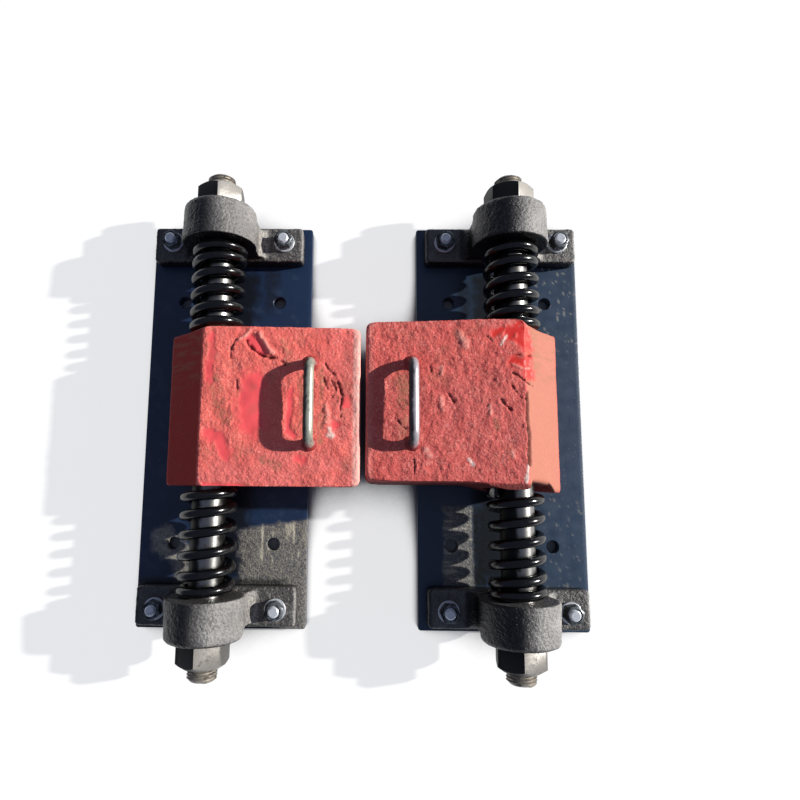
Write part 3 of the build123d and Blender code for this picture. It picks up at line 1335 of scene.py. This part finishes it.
LEFT_MARKS = (
    *scarred(
        Scar.POOL,
        (16, 0.2, -141, 36, -145, 16, -146, -4, -141, -16),
        (9, 0.4, -195, -29, -184, -35, -179, -46, -172, -57),
        (7, 0.3, -82, -61, -78, -63),
        (4, 0.3, -92, 25, -94, 1, -95, -25, -87, -33),
        (7, 1.8, -145, 93, -138, 85, -132, 78),
        (5, 0.3, -197, 98, -195, 76, -199, 52, -196, 39),
        (6, 0.3, -21, 12, -22, 8),
        (4.5, 0.3, -34, -18, -36, -20),
        (2.6, 0.2, -199, -94, -174, -95, -150, -96),
    ),
    *scarred(
        Scar.CRACK,
        (2.1, 3, -153, 92, -149, 85, -136, 74, -127, 70, -121, 69),
        (1.7, 2.2, -119, 69, -110, 68, -103, 62, -101, 59),
        (1.3, 1.6, -166, 92, -171, 82, -172, 68, -159, 67, -152, 60),
        (1.2, 1.5, -163, 39, -161, 26),
        (2.2, 2.6, -49, 61, -44, 53, -36, 46, -31, 33, -27, 20, -29, 4, -28, -8),
        (1.6, 2, -52, 43, -45, 27, -37, 14, -31, 11),
        (1.6, 2, -41, 40, -34, 27),
    ),
    *scarred(
        Scar.PIT,
        (8, 1.6, -42, 46, -37, 30, -33, 12),
    ),
    *scarred(
        Scar.FOLD,
        (3, -1.9, -134, 100, -129, 90, -122, 80, -116, 75),
        (2.2, -1.4, -160, 93, -153, 98, -147, 105),
        (2.8, -1.2, -48, 7, -45, -4, -46, -15),
    ),
    *scarred(
        Scar.CHIP,
        (3, -0.8, -43, -23, -39, -31, -45, -31),
    ),
    *scarred(
        Scar.EARTH,
        (4.5, -0.8, -103, 90, -96, 75, -97, 62),
        (8, 0, -190, 39, -186, 16, -175, -10),
        (6, 0, -126, -63, -107, -71),
        (5.5, 0, -78, 40, -75, 9, -76, -23),
        (4, 0, -54, 54, -53, 17, -54, -40),
    ),
)

RIGHT_MARKS = (
    *scarred(
        Scar.POOL,
        (9, 0.8, 189, 105, 203, 112, 205, 93, 212, 84),
        (8, 0.9, 193, 67, 208, 64, 214, 48),
        (7, 0.4, 208, 113, 213, 98, 216, 84, 214, 66, 217, 56),
        (5, 0.5, 169, 102, 178, 108),
    ),
    *scarred(
        Scar.CHIP,
        (1.3, -0.5, 185, 100, 180, 92, 177, 87),
        (2.2, -0.6, 208, -67, 207, -76, 205, -88),
        (1.9, -0.6, 133, -59, 139, -67),
        (2.2, -0.8, 143, -90, 147, -92),
    ),
    *scarred(
        Scar.CRACK,
        (3.4, 4.5, 210, 25, 210, 9, 209, -7, 211, -23, 212, -38, 210, -54, 211, -65),
        (1.7, 2.4, 106, 28, 111, 20, 117, 10),
        (1.8, 2.6, 174, 18, 182, 9, 188, 3),
        (1.4, 2.2, 196, 74, 208, 73, 220, 75),
        (1.4, 2.2, 192, 51, 208, 40, 220, 35),
        (1.2, 1.8, 188, 37, 195, 27, 203, 17),
        (1.2, 1.6, 64, -61, 65, -70, 64, -80),
        (1.6, 2, 109, -92, 112, -98),
        (1.5, 2, 44, -11, 49, -19, 55, -22),
        (1.4, 1.8, 157, 101, 166, 93),
        (1.5, 1.8, 86, 58, 89, 47),
    ),
    *scarred(
        Scar.FOLD,
        (5, -1.3, 124, 100, 129, 91, 131, 86),
        (2.8, -1, 101, 57, 100, 50),
        (2.6, -1, 99, 18, 101, 2),
        (2.2, -0.9, 161, 9, 162, -1),
        (2, -1.2, 192, 62, 206, 56, 216, 58),
        (2.2, -0.8, 188, -50, 189, -56),
        (3.4, -0.9, 80, -49, 85, -56),
    ),
    *scarred(
        Scar.EARTH,
        (3.8, -0.5, 168, -10, 170, -20),
        (7.5, 0, 49, 40, 55, 27, 50, 8),
        (5.5, 0, 52, -8, 50, -30),
    ),
    *scarred(
        Scar.PIT,
        (3, 1.4, 108, 65, 113, 59),
        (4, 1, 70, 60, 72, 40, 74, 10),
        (11, 0.9, 150, 60, 165, 40),
    ),
)


@dataclass
class StopBlock:
    """Heavy cast block on the shaft, flat on top, with a sloping nose outside."""

    hand: Hand
    marks: tuple[Mark, ...]
    finish: Finish
    nose_corner: float
    flare: float
    nose_shift: float = 0.0
    near_flare: float = 0.0
    lean: float = 0.0
    lip: float = 0.0
    rough: float = 1.0
    reach: float = 201.0
    rise: float = 48.0
    ridge: float = 4.0
    nose: float = 60.0
    pad_z: float = 65.7
    bore_r: float = 22.6
    drill_run: Flat = (-130.0, 140.0)
    voxel: float = 1.6

    def build(self) -> None:
        """Casts the block, roughens its skin and bores it."""
        bm = bmesh.new()
        near_y, far_y = self.hand.block_ends

        def corner(reach: float, rise: float) -> BMVert:
            """A corner of the outline, inward and up from the shaft's axis."""
            return bm.verts.new((AXIS_X - reach, 0, AXIS_Z + rise))

        def arc(start: BMVert, angle: float, steps: int) -> BMVert:
            """Draws an arc round the shaft's axis and gives its end."""
            hub = (AXIS_X, 0, AXIS_Z)
            drawn = bmesh.ops.spin(bm, geom=[start], cent=hub, axis=ALONG_Y, angle=angle, steps=steps)
            return drawn["geom_last"][0]

        nose = corner(-self.nose, 0)
        back = arc(nose, pi / 2, 10)
        low = sqrt(self.reach**2 - self.pad_z**2)
        heel = corner(low, -self.pad_z)
        end = arc(heel, acos(low / self.reach), 6)
        chain = (back, corner(30, -self.nose), corner(36, -self.pad_z), heel)
        crown = (end, corner(self.reach, self.rise), corner(-self.ridge, self.rise), nose)
        for run in (chain, crown):
            for pair in zip(run, run[1:]):
                bm.edges.new(pair)
        bmesh.ops.contextual_create(bm, geom=bm.edges[:])
        far = set(drawn_out(bm, (0, far_y, 0)))
        bmesh.ops.translate(bm, vec=(0, near_y, 0), verts=[v for v in bm.verts if v not in far])
        closed(bm)
        self.round_off(bm)
        bmesh.ops.scale(bm, vec=(self.hand.value, 1, 1), verts=bm.verts)
        closed(bm)
        word = self.hand.word
        block = piece(f"{word}_stop_block", bm)
        skinned(block, self.voxel, 3)
        self.roughen(block.data)
        bored(block, self.hand.axis_x, self.drill_run, self.bore_r, 60)
        dressed(block, self.finish, "block_red", f"{word}_block", f"{word}_block")

    def round_off(self, bm: BMesh) -> None:
        """Rounds the block's corners: the slope's sides, the inner side, its top edge, the rest.

        Args:
            bm: the block, still drawn as a right-hand one.
        """
        near_y, far_y = self.hand.block_ends
        ridge_x = AXIS_X + self.ridge

        def length(edge: BMEdge) -> float:
            """How far an edge runs along Y."""
            return abs(edge.verts[0].co.y - edge.verts[1].co.y)

        def on_slope(edge: BMEdge, y: float) -> bool:
            """Whether an edge is the slope's side at that end of the block."""
            high, foot = sorted((v.co for v in edge.verts), key=lambda c: -c.z)
            level = abs(high.y - y) < 1 and abs(foot.y - y) < 1
            return level and abs(high.x - ridge_x) < 1 and foot.x > ridge_x + 20

        ease(bm, self.nose_corner, 6, lambda e: on_slope(e, far_y))
        ease(bm, 6.0, 4, lambda e: on_slope(e, near_y))
        ease(bm, 10.0, 5, lambda e: all(v.co.x < 20 for v in e.verts) and length(e) < 0.1)
        ease(bm, 6.0, 4, lambda e: all(v.co.x < 20 and v.co.z > 129 for v in e.verts))
        ease(bm, 2.5, 3, lambda e: length(e) < 60)

    def roughen(self, mesh: Mesh) -> None:
        """Moves the skin into grains, folds and cracks, and marks paint and wear, with painted shade and a
        painted highlight.

        Args:
            mesh: the block's mesh, in metres.
        """
        at, out = points_of(mesh), normals_of(mesh)
        seed = 3.0 + self.hand.value
        away, up = at[:, 0] * self.hand.value, at[:, 2]
        at = self.warped(at, away, up)
        on_top = ramp(124, 128.5, up) * ramp(0.45, 0.8, out[:, 2]) * ramp(213, 208, away)
        slope = ramp(209, 212, away) * ramp(80, 86, up)
        inner = ramp(12, 4, away) * ramp(40, 70, up)
        rough = 0.25 + 0.8 * on_top * self.rough - 0.12 * slope
        fields, groove = self.scars(at, out, on_top, slope, seed)
        calm = 1.0 - 0.85 * fields["pool"]
        broad = 1.3 * grain(at, 27, seed, 2) * (0.25 + 0.75 * on_top)
        mid = 0.7 * grain(at, 8.0, seed + 1, 3)
        fine = 0.6 * (lumps(at, 4.0, seed) - 0.45) + 0.5 * grain(at, 3.2, seed + 2, 2)
        relief = (mid + fine) * rough * calm
        raised = broad + relief - groove - 1.1
        push(mesh, at, out, raised * ramp(20, 30, up) * (1.0 - 0.65 * inner))
        crumbs = grain(at, 5, seed + 12, 3)
        # Along the left block's inner top edge, which faces the sun, a pale strip of worn paint carries a
        # painted highlight; the right block's, in shade, has little of it.
        strip = ramp(15.0, 10.0, away + 2.0 * crumbs) * ramp(119, 125, up) * (0.8 + 0.5 * crumbs)
        strip = strip * (1.0 if self.hand is Hand.LEFT else 0.15)
        far_y = self.hand.block_ends[1]
        rim = ramp(far_y - 4.5, far_y - 2, at[:, 1]) * ramp(122, 127, up) * ramp(0.0, 0.3, crumbs) * 0.1
        # Rain has drawn brown streaks down the far part of the slope.
        streaks = grain(at * np.array((0.2, 1.0, 0.2)), 6, seed + 20, 3)
        rain = slope * ramp(20, 60, at[:, 1]) * ramp(-0.05, 0.35, streaks)
        # Painted shade on faces that turn down, and on the near face under the top's edge.
        painted_shade_below = ramp(0.1, -0.5, out[:, 2]) * (0.5 + crumbs)
        edge = self.hand.block_ends[0] + (4.0 if self.lip else -30.0)
        painted_shade_below = np.maximum(painted_shade_below, 2.6 * ramp(edge, edge - 3, at[:, 1]) * ramp(240, 225, away))
        clouds = ramp(0.25, 0.7, grain(at, 30, seed + 15, 3))
        thin = self.thin_paint(at) * on_top * (0.7 + 0.8 * grain(at, 24, seed + 18, 4))
        marks = {
            "pool": fields["pool"],
            "soil": fields["soil"] + 0.3 * painted_shade_below,
            "earth": fields["earth"] + 0.3 * clouds * on_top + 0.5 * rain,
            # Painted shade in the relief's hollows.
            "hollow": ramp(-0.15, -0.9, relief + 0.25 * broad) * (1.0 - 0.5 * slope),
            "thin": thin * calm,
            "fold": fields["fold"] + strip,
            "bare": fields["bare"] + 0.4 * strip + rim,
            "weather": slope,
        }
        for name, values in marks.items():
            mark(mesh, name, values)

    def thin_paint(self, at: Array) -> Array:
        """Where paint lies thin: the near and inner part of the left top, the middle of the right."""
        if self.hand is Hand.LEFT:
            return np.maximum(ramp(-25, -75, at[:, 1]), 0.8 * ramp(-75, -40, at[:, 0]))
        return 0.75 * ramp(60, 20, at[:, 1]) * ramp(10, 60, at[:, 0])

    def warped(self, at: Array, away: Array, up: Array) -> Array:
        """Widens the block towards its ridge and nose, where the real casting is not square.

        Args:
            at: points in millimetres, one a row.
            away: their distance from the track's middle.
            up: their height.

        Returns:
            The moved points.
        """
        at = at.copy()
        near_y, far_y = self.hand.block_ends
        far = ramp(85, 125, up) * ramp(far_y - 50, far_y - 3, at[:, 1]) * ramp(262, 215, away)
        at[:, 1] += self.flare * ramp(20, 205, away) * far
        from_axis = np.hypot(away - AXIS_X, up - AXIS_Z)
        # The top lies a little further on than the foot, but never over the far spring.
        clear = np.where(at[:, 1] > 0, ramp(39.5, 47, from_axis), 1.0)
        at[:, 1] += self.lean * ramp(84, 122, up) * clear
        # The near end spreads at the nose, clear of the spring that stands against it.
        near = ramp(150, 268, away) * ramp(40.5, 50, from_axis) * ramp(near_y + 40, near_y + 1, at[:, 1])
        at[:, 1] -= self.near_flare * near
        # A lip under the near edge, dark with painted shade, stands over the spring's end.
        lip = ramp(129.5, 127.0, up) * ramp(43.0, 44.5, from_axis)
        lip = lip * ramp(130, 185, away) * ramp(232, 215, away)
        at[:, 1] -= self.lip * lip * ramp(near_y + 14, near_y + 6, at[:, 1])
        at[:, 0] += self.hand.value * self.nose_shift * ramp(225, 262, away)
        return at

    def scars(
        self,
        at: Array,
        out: Array,
        on_top: Array,
        slope: Array,
        seed: float,
    ) -> tuple[dict[str, Array], Array]:
        """Lays the block's marks on its skin.

        Args:
            at: points in millimetres, one a row.
            out: normals at the points.
            on_top: how far each point belongs to the top.
            slope: how far it belongs to the slope.
            seed: shifts the patterns.

        Returns:
            Strength of each kind of paint or wear, and the depth that is taken off.
        """
        wander = grain(at, 11, seed + 7, 3)
        ragged = grain(at, 4, seed + 8, 3)
        painted = np.maximum(on_top, slope)
        cracked = ramp(100, 118, at[:, 2]) * (out[:, 2] > 0.2)
        # For each kind: the field that it adds to, where it can be, and how strongly it shows.
        rules = {
            Scar.CRACK: ("soil", cracked, 0.8),
            Scar.POOL: ("pool", painted, 1.0),
            Scar.CHIP: ("bare", painted, 1.0),
            Scar.PIT: ("soil", on_top * (0.6 + 0.8 * ragged), 0.45),
            Scar.EARTH: ("earth", on_top * (0.55 + 0.9 * ragged), 1.0),
            Scar.FOLD: ("fold", painted, 0.7 + 0.6 * ragged),
        }
        fields = {name: np.zeros(len(at)) for name in ("pool", "soil", "earth", "bare", "fold")}
        groove = np.zeros(len(at))
        for scar in self.marks:
            crack, width = scar.kind is Scar.CRACK, scar.width
            d = from_line(at, scar.line) + wander * (1.8 if crack else 0.55 * width)
            d = d + ragged * min(2.2, 0.35 * width)
            name, where, strength = rules[scar.kind]
            core = where * (ramp(width, 0.1 * width, d) if crack else ramp(1.45 * width, 0.45 * width, d))
            fields[name] = np.maximum(fields[name], core * strength)
            groove = groove + scar.depth * core
        return fields, groove


@dataclass
class LiftingHandle:
    """Round rod bent into a grip and welded to the block's top at both feet."""

    hand: Hand
    x: float
    middle_y: float
    finish: Finish
    lee: Flat
    rod_r: float = 6.75
    foot_spacing: float = 103.0
    rise: float = 23.3
    bend_r: float = 17.0
    buried: float = 6.0

    def build(self) -> None:
        """Bends the rod, then lays a bead of weld round each foot."""
        bm = bmesh.new()
        x, start_y = self.hand.value * self.x, self.middle_y - self.foot_spacing / 2
        ring = bmesh.ops.create_circle(bm, cap_ends=False, radius=self.rod_r - 0.15, segments=24)["verts"]
        bmesh.ops.translate(bm, verts=ring, vec=(x, start_y, BLOCK_TOP - self.buried))
        leg = self.buried + self.rise - self.bend_r
        grip = self.foot_spacing - 2 * self.bend_r
        hub_z = BLOCK_TOP + self.rise - self.bend_r
        edges = self.straight(bm, bm.edges[:], Vector((0, 0, leg)), 8)
        edges = self.bend(bm, edges, Vector((x, start_y + self.bend_r, hub_z)))
        edges = self.straight(bm, edges, Vector((0, grip, 0)), 16)
        edges = self.bend(bm, edges, Vector((x, start_y + self.bend_r + grip, hub_z)))
        self.straight(bm, edges, Vector((0, 0, -leg)), 8)
        bmesh.ops.holes_fill(bm, edges=[e for e in bm.edges if e.is_boundary], sides=0)
        closed(bm)
        word = self.hand.word
        rod = piece(f"{word}_rod", bm, 50)
        self.weather(rod.data)
        dressed(rod, self.finish, "handle_steel", f"{word}_block", f"{word}_handle")
        for end in End:
            self.weld(end)

    def straight(
        self,
        bm: BMesh,
        edges: list[BMEdge],
        run: Vector,
        parts: int,
    ) -> list[BMEdge]:
        """Draws the rod on along a run.

        Args:
            bm: the rod's mesh.
            edges: its open end.
            run: the way and length.
            parts: rings along the run.

        Returns:
            The edges of its new end.
        """
        for _ in range(parts):
            grown = bmesh.ops.extrude_edge_only(bm, edges=edges)["geom"]
            edges = [e for e in grown if isinstance(e, BMEdge)]
            tips = list({v for e in edges for v in e.verts})
            bmesh.ops.translate(bm, verts=tips, vec=run / parts)
        return edges

    def bend(self, bm: BMesh, edges: list[BMEdge], hub: Vector) -> list[BMEdge]:
        """Turns the rod through a quarter round a bend's hub.

        Args:
            bm: the rod's mesh.
            edges: its open end.
            hub: middle of the bend.

        Returns:
            The edges of its new end.
        """
        ends = edges + list({v for e in edges for v in e.verts})
        turn = {"cent": hub, "axis": (-1, 0, 0), "angle": pi / 2, "steps": 12, "use_duplicate": False}
        spun = bmesh.ops.spin(bm, geom=ends, **turn)
        return [e for e in spun["geom_last"] if isinstance(e, BMEdge)]

    def weather(self, mesh: Mesh) -> None:
        """Gives the rod its slight unevenness and painted shade on its flank away from the sun.

        Args:
            mesh: the rod's mesh, in metres.
        """
        at, out = points_of(mesh), normals_of(mesh)
        seed = 2.0 + self.hand.value
        push(mesh, at, out, 0.15 * grain(at, 12, seed, 2) - 0.1)
        # Painted shade, in the grease colour, on the flank that turns from the sun.
        flank = ramp(self.lee[0], self.lee[1], out[:, 0] + 0.3 * grain(at, 7, seed + 3, 3))
        mark(mesh, "greased", 0.9 * flank)

    def weld(self, end: End) -> None:
        """Lays the bead of weld round one foot.

        Args:
            end: which foot it holds.
        """
        foot_y = self.middle_y + end.value * self.foot_spacing / 2
        foot = Vector((self.hand.value * self.x, foot_y, BLOCK_TOP))
        bm = bmesh.new()
        r = self.rod_r
        shape = ((-1.5, -3.5), (3.4, -3.5), (3.2, -1.0), (2.0, 1.0), (0.4, 2.6), (-1.5, 3.2))
        lathe(bm, [(foot.x + r + out, foot.y, foot.z + h) for out, h in shape], foot, ALONG_Z, 40, True)
        closed(bm)
        bmesh.ops.subdivide_edges(bm, edges=bm.edges[:], cuts=1, use_grid_fill=True)
        bead = piece(f"{self.hand.word}_{end.word}_weld_bead", bm, 70)
        at, out = points_of(bead.data), normals_of(bead.data)
        ripple = 0.7 * grain(at, 4.5, end.value + 5.0, 2) + 0.4 * grain(at, 2.2, end.value + 8.0, 2)
        push(bead.data, at, out, ripple)
        dressed(bead, WELD, "block_red", f"{self.hand.word}_block")


@dataclass
class BasePlate:
    """Thick rolled plate with four open fixing holes."""

    hand: Hand
    finish: Finish
    width: float = 240.0
    length: float = 590.0
    corner_r: float = 4.0
    hole_r: float = 9.0
    hole_x: float = 143.0
    hole_y: float = 357.0
    cell: float = 2.5

    def build(self) -> None:
        """Cuts the plate out, drills it and marks where it is scraped."""
        middle = self.hand.value * PLATE_MIDDLE_X
        bm = bmesh.new()
        add_box(bm, (self.width, self.length, PLATE_TOP), (middle, 0, PLATE_TOP / 2))
        closed(bm)
        ease(bm, self.corner_r, 4, upright)
        ease(bm, 0.9, 2)
        for axis, half, centre in ((0, self.width / 2, middle), (1, self.length / 2, 0.0)):
            for cut in np.arange(-half + 6, half - 5.9, self.cell):
                spot, face = [0.0, 0.0, 0.0], [0.0, 0.0, 0.0]
                spot[axis], face[axis] = centre + float(cut), 1.0
                geom = bm.verts[:] + bm.edges[:] + bm.faces[:]
                bmesh.ops.bisect_plane(bm, geom=geom, dist=1e-4, plane_co=spot, plane_no=face)
        plate = piece(f"{self.hand.word}_plate", bm)
        r, top = self.hole_r, PLATE_TOP
        bit = ((0, -5), (r, -5), (r, top - 0.8), (r + 0.9, top + 0.1), (r + 0.9, top + 5), (0, top + 5))
        drill = bmesh.new()
        for x in (middle - self.hole_x / 2, middle + self.hole_x / 2):
            for y in (-self.hole_y / 2, self.hole_y / 2):
                lathe(drill, [(x + out, y, z) for out, z in bit], (x, y, 0), ALONG_Z, 32, False)
        carve(plate, drill)
        shaded(plate.data, 30)
        self.wear(plate.data)
        dressed(plate, self.finish, "plate_paint", "base", f"{self.hand.word}_base_plate")

    def wear(self, mesh: Mesh) -> None:
        """Marks scraped metal, scores, grease and chalky dust on the plate's top.

        Args:
            mesh: the plate's mesh, in metres.
        """
        at = points_of(mesh)
        top = (at[:, 2] > PLATE_TOP - 1.2).astype(float)
        seed = 6.0 + self.hand.value
        wander = grain(at, 14, seed, 4)
        shaft = np.abs(at[:, 0] - self.hand.axis_x)
        grease = 0.85 * ramp(54, 32, shaft + 10 * wander) * ramp(236, 214, np.abs(at[:, 1]))
        wear = self.scraped_left if self.hand is Hand.LEFT else self.scraped_right
        scraped, scored, dirty, chalky = wear(at, wander, grain(at, 5, seed + 3, 3))
        grease = np.maximum(grease * (1 - scraped), dirty)
        for name, values in (("scraped", scraped), ("scored", scored), ("greasy", grease)):
            mark(mesh, name, values * top)
        mark(mesh, "chalky", chalky)

    def scraped_left(self, at: Array, wander: Array, crumbs: Array) -> tuple[Array, ...]:
        """Wear of the left plate: its near end is scraped bare and scored along the track.

        Args:
            at: points in millimetres, one a row.
            wander: broad noise at the points.
            crumbs: fine noise at the points.

        Returns:
            Strengths of scraping, scoring, grease and chalk.
        """
        x, y = at[:, 0], at[:, 1]
        edge = -154 + 0.12 * (x + 175) + 3.0 * wander
        scraped = ramp(1, -6, y - edge) * ramp(-184, -170, x + 6 * wander) * (0.85 + 0.5 * crumbs)
        lines = ramp(0.1, 0.5, grain(at * np.array((1.0, 0.07, 1.0)), 3.2, 31.0, 2))
        bands = ramp(14, 5, np.abs(x + 138)) + ramp(17, 7, np.abs(x + 97))
        scored = scraped * lines * bands * ramp(-214, -196, y) * 0.9
        # A place by the near outer hole takes the scraped steel's colour.
        d = from_line(at, ((-284, -176), (-262, -190), (-246, -222)))
        grey_place = ramp(24, 12, d + 9 * wander) * (0.6 + 0.5 * crumbs)
        scraped = np.maximum(scraped, grey_place)
        scored = np.maximum(scored, 0.3 * grey_place)
        # Grease has run out right of the far spring; along the near foot the plate is darker.
        run_out = ramp(16, 5, np.abs(x + 140 + 5 * wander)) * ramp(150, 176, y) * ramp(236, 224, y)
        foot_line = ramp(-225, -229, y + 2 * crumbs) * ramp(-100, -120, x)
        dirty = np.maximum(0.7 * run_out * (0.8 + 0.6 * crumbs), 0.8 * foot_line)
        return scraped, scored, dirty, 0.35 * ramp(0.2, 0.6, wander)

    def scraped_right(self, at: Array, wander: Array, crumbs: Array) -> tuple[Array, ...]:
        """Marks of the right plate: pale steel-coloured by its near inner hole, chalky dust outside.

        Args:
            at: points in millimetres, one a row.
            wander: broad noise at the points.
            crumbs: fine noise at the points.

        Returns:
            Strengths of scraping, scoring, grease and chalk.
        """
        x, y = at[:, 0], at[:, 1]
        left = 113 + 4 * wander
        within = ramp(-119, -126, y) * ramp(-238, -230, y)
        scraped = ramp(0, 5, x - left) * ramp(161, 154, x + 2 * wander) * within * (0.72 + 0.5 * crumbs)
        lines = ramp(0.15, 0.55, grain(at * np.array((0.1, 1.0, 1.0)), 3.4, 33.0, 2))
        scored = scraped * lines * 0.55
        stripe = ramp(11.5, 7, np.abs(x - 167)) * within * (0.9 + 0.4 * crumbs)
        far_stain = ramp(15, 5, np.abs(x - 152 + 6 * wander)) * ramp(140, 165, y) * ramp(222, 205, y)
        dirty = np.maximum(0.95 * stripe, 0.75 * far_stain * (0.8 + 0.5 * crumbs))
        outside = ramp(244, 262, x + 8 * wander)
        nicks = ramp(0.45, 0.65, grain(at * np.array((1.0, 0.4, 1.0)), 3.4, 41.0, 3)) * outside
        nicks = nicks * np.maximum(ramp(90, 130, y), 0.6 * ramp(-102, -112, y))
        scored = np.maximum(scored, 0.32 * nicks)
        return scraped, scored, dirty, outside * (0.55 + 0.5 * wander)


@dataclass
class StopBlockHalf:
    """One half of the pair, with everything that stands on its plate."""

    hand: Hand
    casting: Finish
    plate: Finish
    rubbed: Flat
    shaft: Shaft
    springs: tuple[CoilSpring, CoilSpring]
    block: StopBlock
    handle: LiftingHandle

    def build(self) -> None:
        """Builds the half from the plate up."""
        BasePlate(self.hand, self.plate).build()
        for end, rubbed in zip(End, self.rubbed):
            Pedestal(self.hand, end, self.casting, rubbed).build()
            for side in Side:
                turn = 17.0 * (1 + self.hand.value) + 23.0 * (1 + end.value) + 9.0 * side.value
                FootStud(self.hand, end, side).build(turn)
        self.shaft.build()
        for spring in self.springs:
            spring.build()
        self.block.build()
        self.handle.build()


@dataclass(frozen=True)
class Daylight:
    """Plain light of a clear day: a low sun from the right and an even sky."""

    sun_strength: float = 5.5
    sun_colour: str = "#fffcf8"
    sky_strength: float = 0.26
    sky_colour: str = "#c7d6ff"
    azimuth_deg: float = 10.2
    elevation_deg: float = 25.6
    sun_width_deg: float = 1.2
    floor_half: float = 20000.0
    floor_drop: float = 0.2

    def build(self) -> None:
        """Sets the sun, the sky and the floor."""
        lamp = bpy.data.lights.new("sun", "SUN")
        lamp.energy = self.sun_strength
        lamp.color = linear(self.sun_colour)[:3]
        lamp.angle = radians(self.sun_width_deg)
        sun = bpy.data.objects.new("sun", lamp)
        flat = cos(radians(self.elevation_deg))
        azimuth = radians(self.azimuth_deg)
        towards = Vector((flat * cos(azimuth), flat * sin(azimuth), sin(radians(self.elevation_deg))))
        sun.rotation_euler = towards.to_track_quat("Z", "Y").to_euler()
        bpy.context.scene.collection.objects.link(sun)
        world = bpy.data.worlds.new("sky")
        world.use_nodes = True
        sky = world.node_tree.nodes["Background"]
        sky.inputs["Color"].default_value = linear(self.sky_colour)
        sky.inputs["Strength"].default_value = self.sky_strength
        bpy.context.scene.world = world
        self.lay_floor()

    def lay_floor(self) -> None:
        """Lays the floor a hair under the plates."""
        bm = bmesh.new()
        bmesh.ops.create_grid(bm, x_segments=1, y_segments=1, size=self.floor_half)
        bmesh.ops.translate(bm, verts=bm.verts, vec=(0, 0, -self.floor_drop))
        floor = piece("floor", bm)
        floor.data.materials.append(PaleFloor().material())


@dataclass(frozen=True)
class Viewpoint:
    """The photograph's camera, found from points of the part on the picture."""

    place: Point = (2.1687, -90.4538, 843.9393)
    turn: Point = (0.1297, 0.0127, 0.0085)
    lens: float = 25.506
    shift: Flat = (0.0539, 0.0112)

    def build(self) -> None:
        """Sets the camera."""
        camera = bpy.data.cameras.new("camera")
        camera.sensor_width = 36.0
        camera.lens = self.lens
        camera.shift_x, camera.shift_y = self.shift
        camera.clip_start, camera.clip_end = 0.01, 100.0
        obj = bpy.data.objects.new("camera", camera)
        obj.location = Vector(self.place) * MM
        obj.rotation_euler = self.turn
        bpy.context.scene.collection.objects.link(obj)
        bpy.context.scene.camera = obj


def main() -> None:
    """Builds both halves, the light and the camera."""
    logging.basicConfig(level=logging.INFO, format="%(message)s")
    bpy.context.scene.view_settings.view_transform = "Standard"
    left, right = Hand.LEFT, Hand.RIGHT
    far, near = End.FAR, End.NEAR
    halves = (
        StopBlockHalf(
            hand=left,
            casting=GREY_CASTING,
            plate=NAVY_PAINT,
            rubbed=(1.0, 0.7),
            shaft=Shaft(left, (5.0, -4.0), (340.0, 342.2)),
            springs=(
                CoilSpring(left, far, (121.4, 142.7, 166.9, 190.6, 213.7, 231.2), 1.5),
                CoilSpring(left, near, (106.2, 130.0, 154.9, 182.0, 208.3, 231.2)),
            ),
            block=StopBlock(
                left,
                LEFT_MARKS,
                RED_PAINT,
                nose_corner=7.0,
                flare=2.0,
                nose_shift=0.5,
                rough=0.9,
            ),
            handle=LiftingHandle(left, 67.5, 10.0, ROD, (-0.05, -0.5)),
        ),
        StopBlockHalf(
            hand=right,
            casting=BLACK_CASTING,
            plate=FADED_NAVY_PAINT,
            rubbed=(0.8, 0.35),
            shaft=Shaft(right, (9.0, -8.0), (339.0, 341.5)),
            springs=(
                CoilSpring(right, far, (120.8, 138.6, 160.9, 184.3, 209.4, 231.2)),
                CoilSpring(right, near, (112.1, 138.9, 164.7, 188.7, 212.8, 231.2), -2.0),
            ),
            block=StopBlock(
                right,
                RIGHT_MARKS,
                SUNNY_RED_PAINT,
                nose_corner=22.0,
                flare=4.5,
                near_flare=10.0,
                lean=4.5,
                lip=8.0,
                rough=1.15,
            ),
            handle=LiftingHandle(right, 63.0, 11.0, SMOOTH_ROD, (0.1, -0.35)),
        ),
    )
    for half in halves:
        half.build()
    Daylight().build()
    Viewpoint().build()


if __name__ == "__main__":
    main()
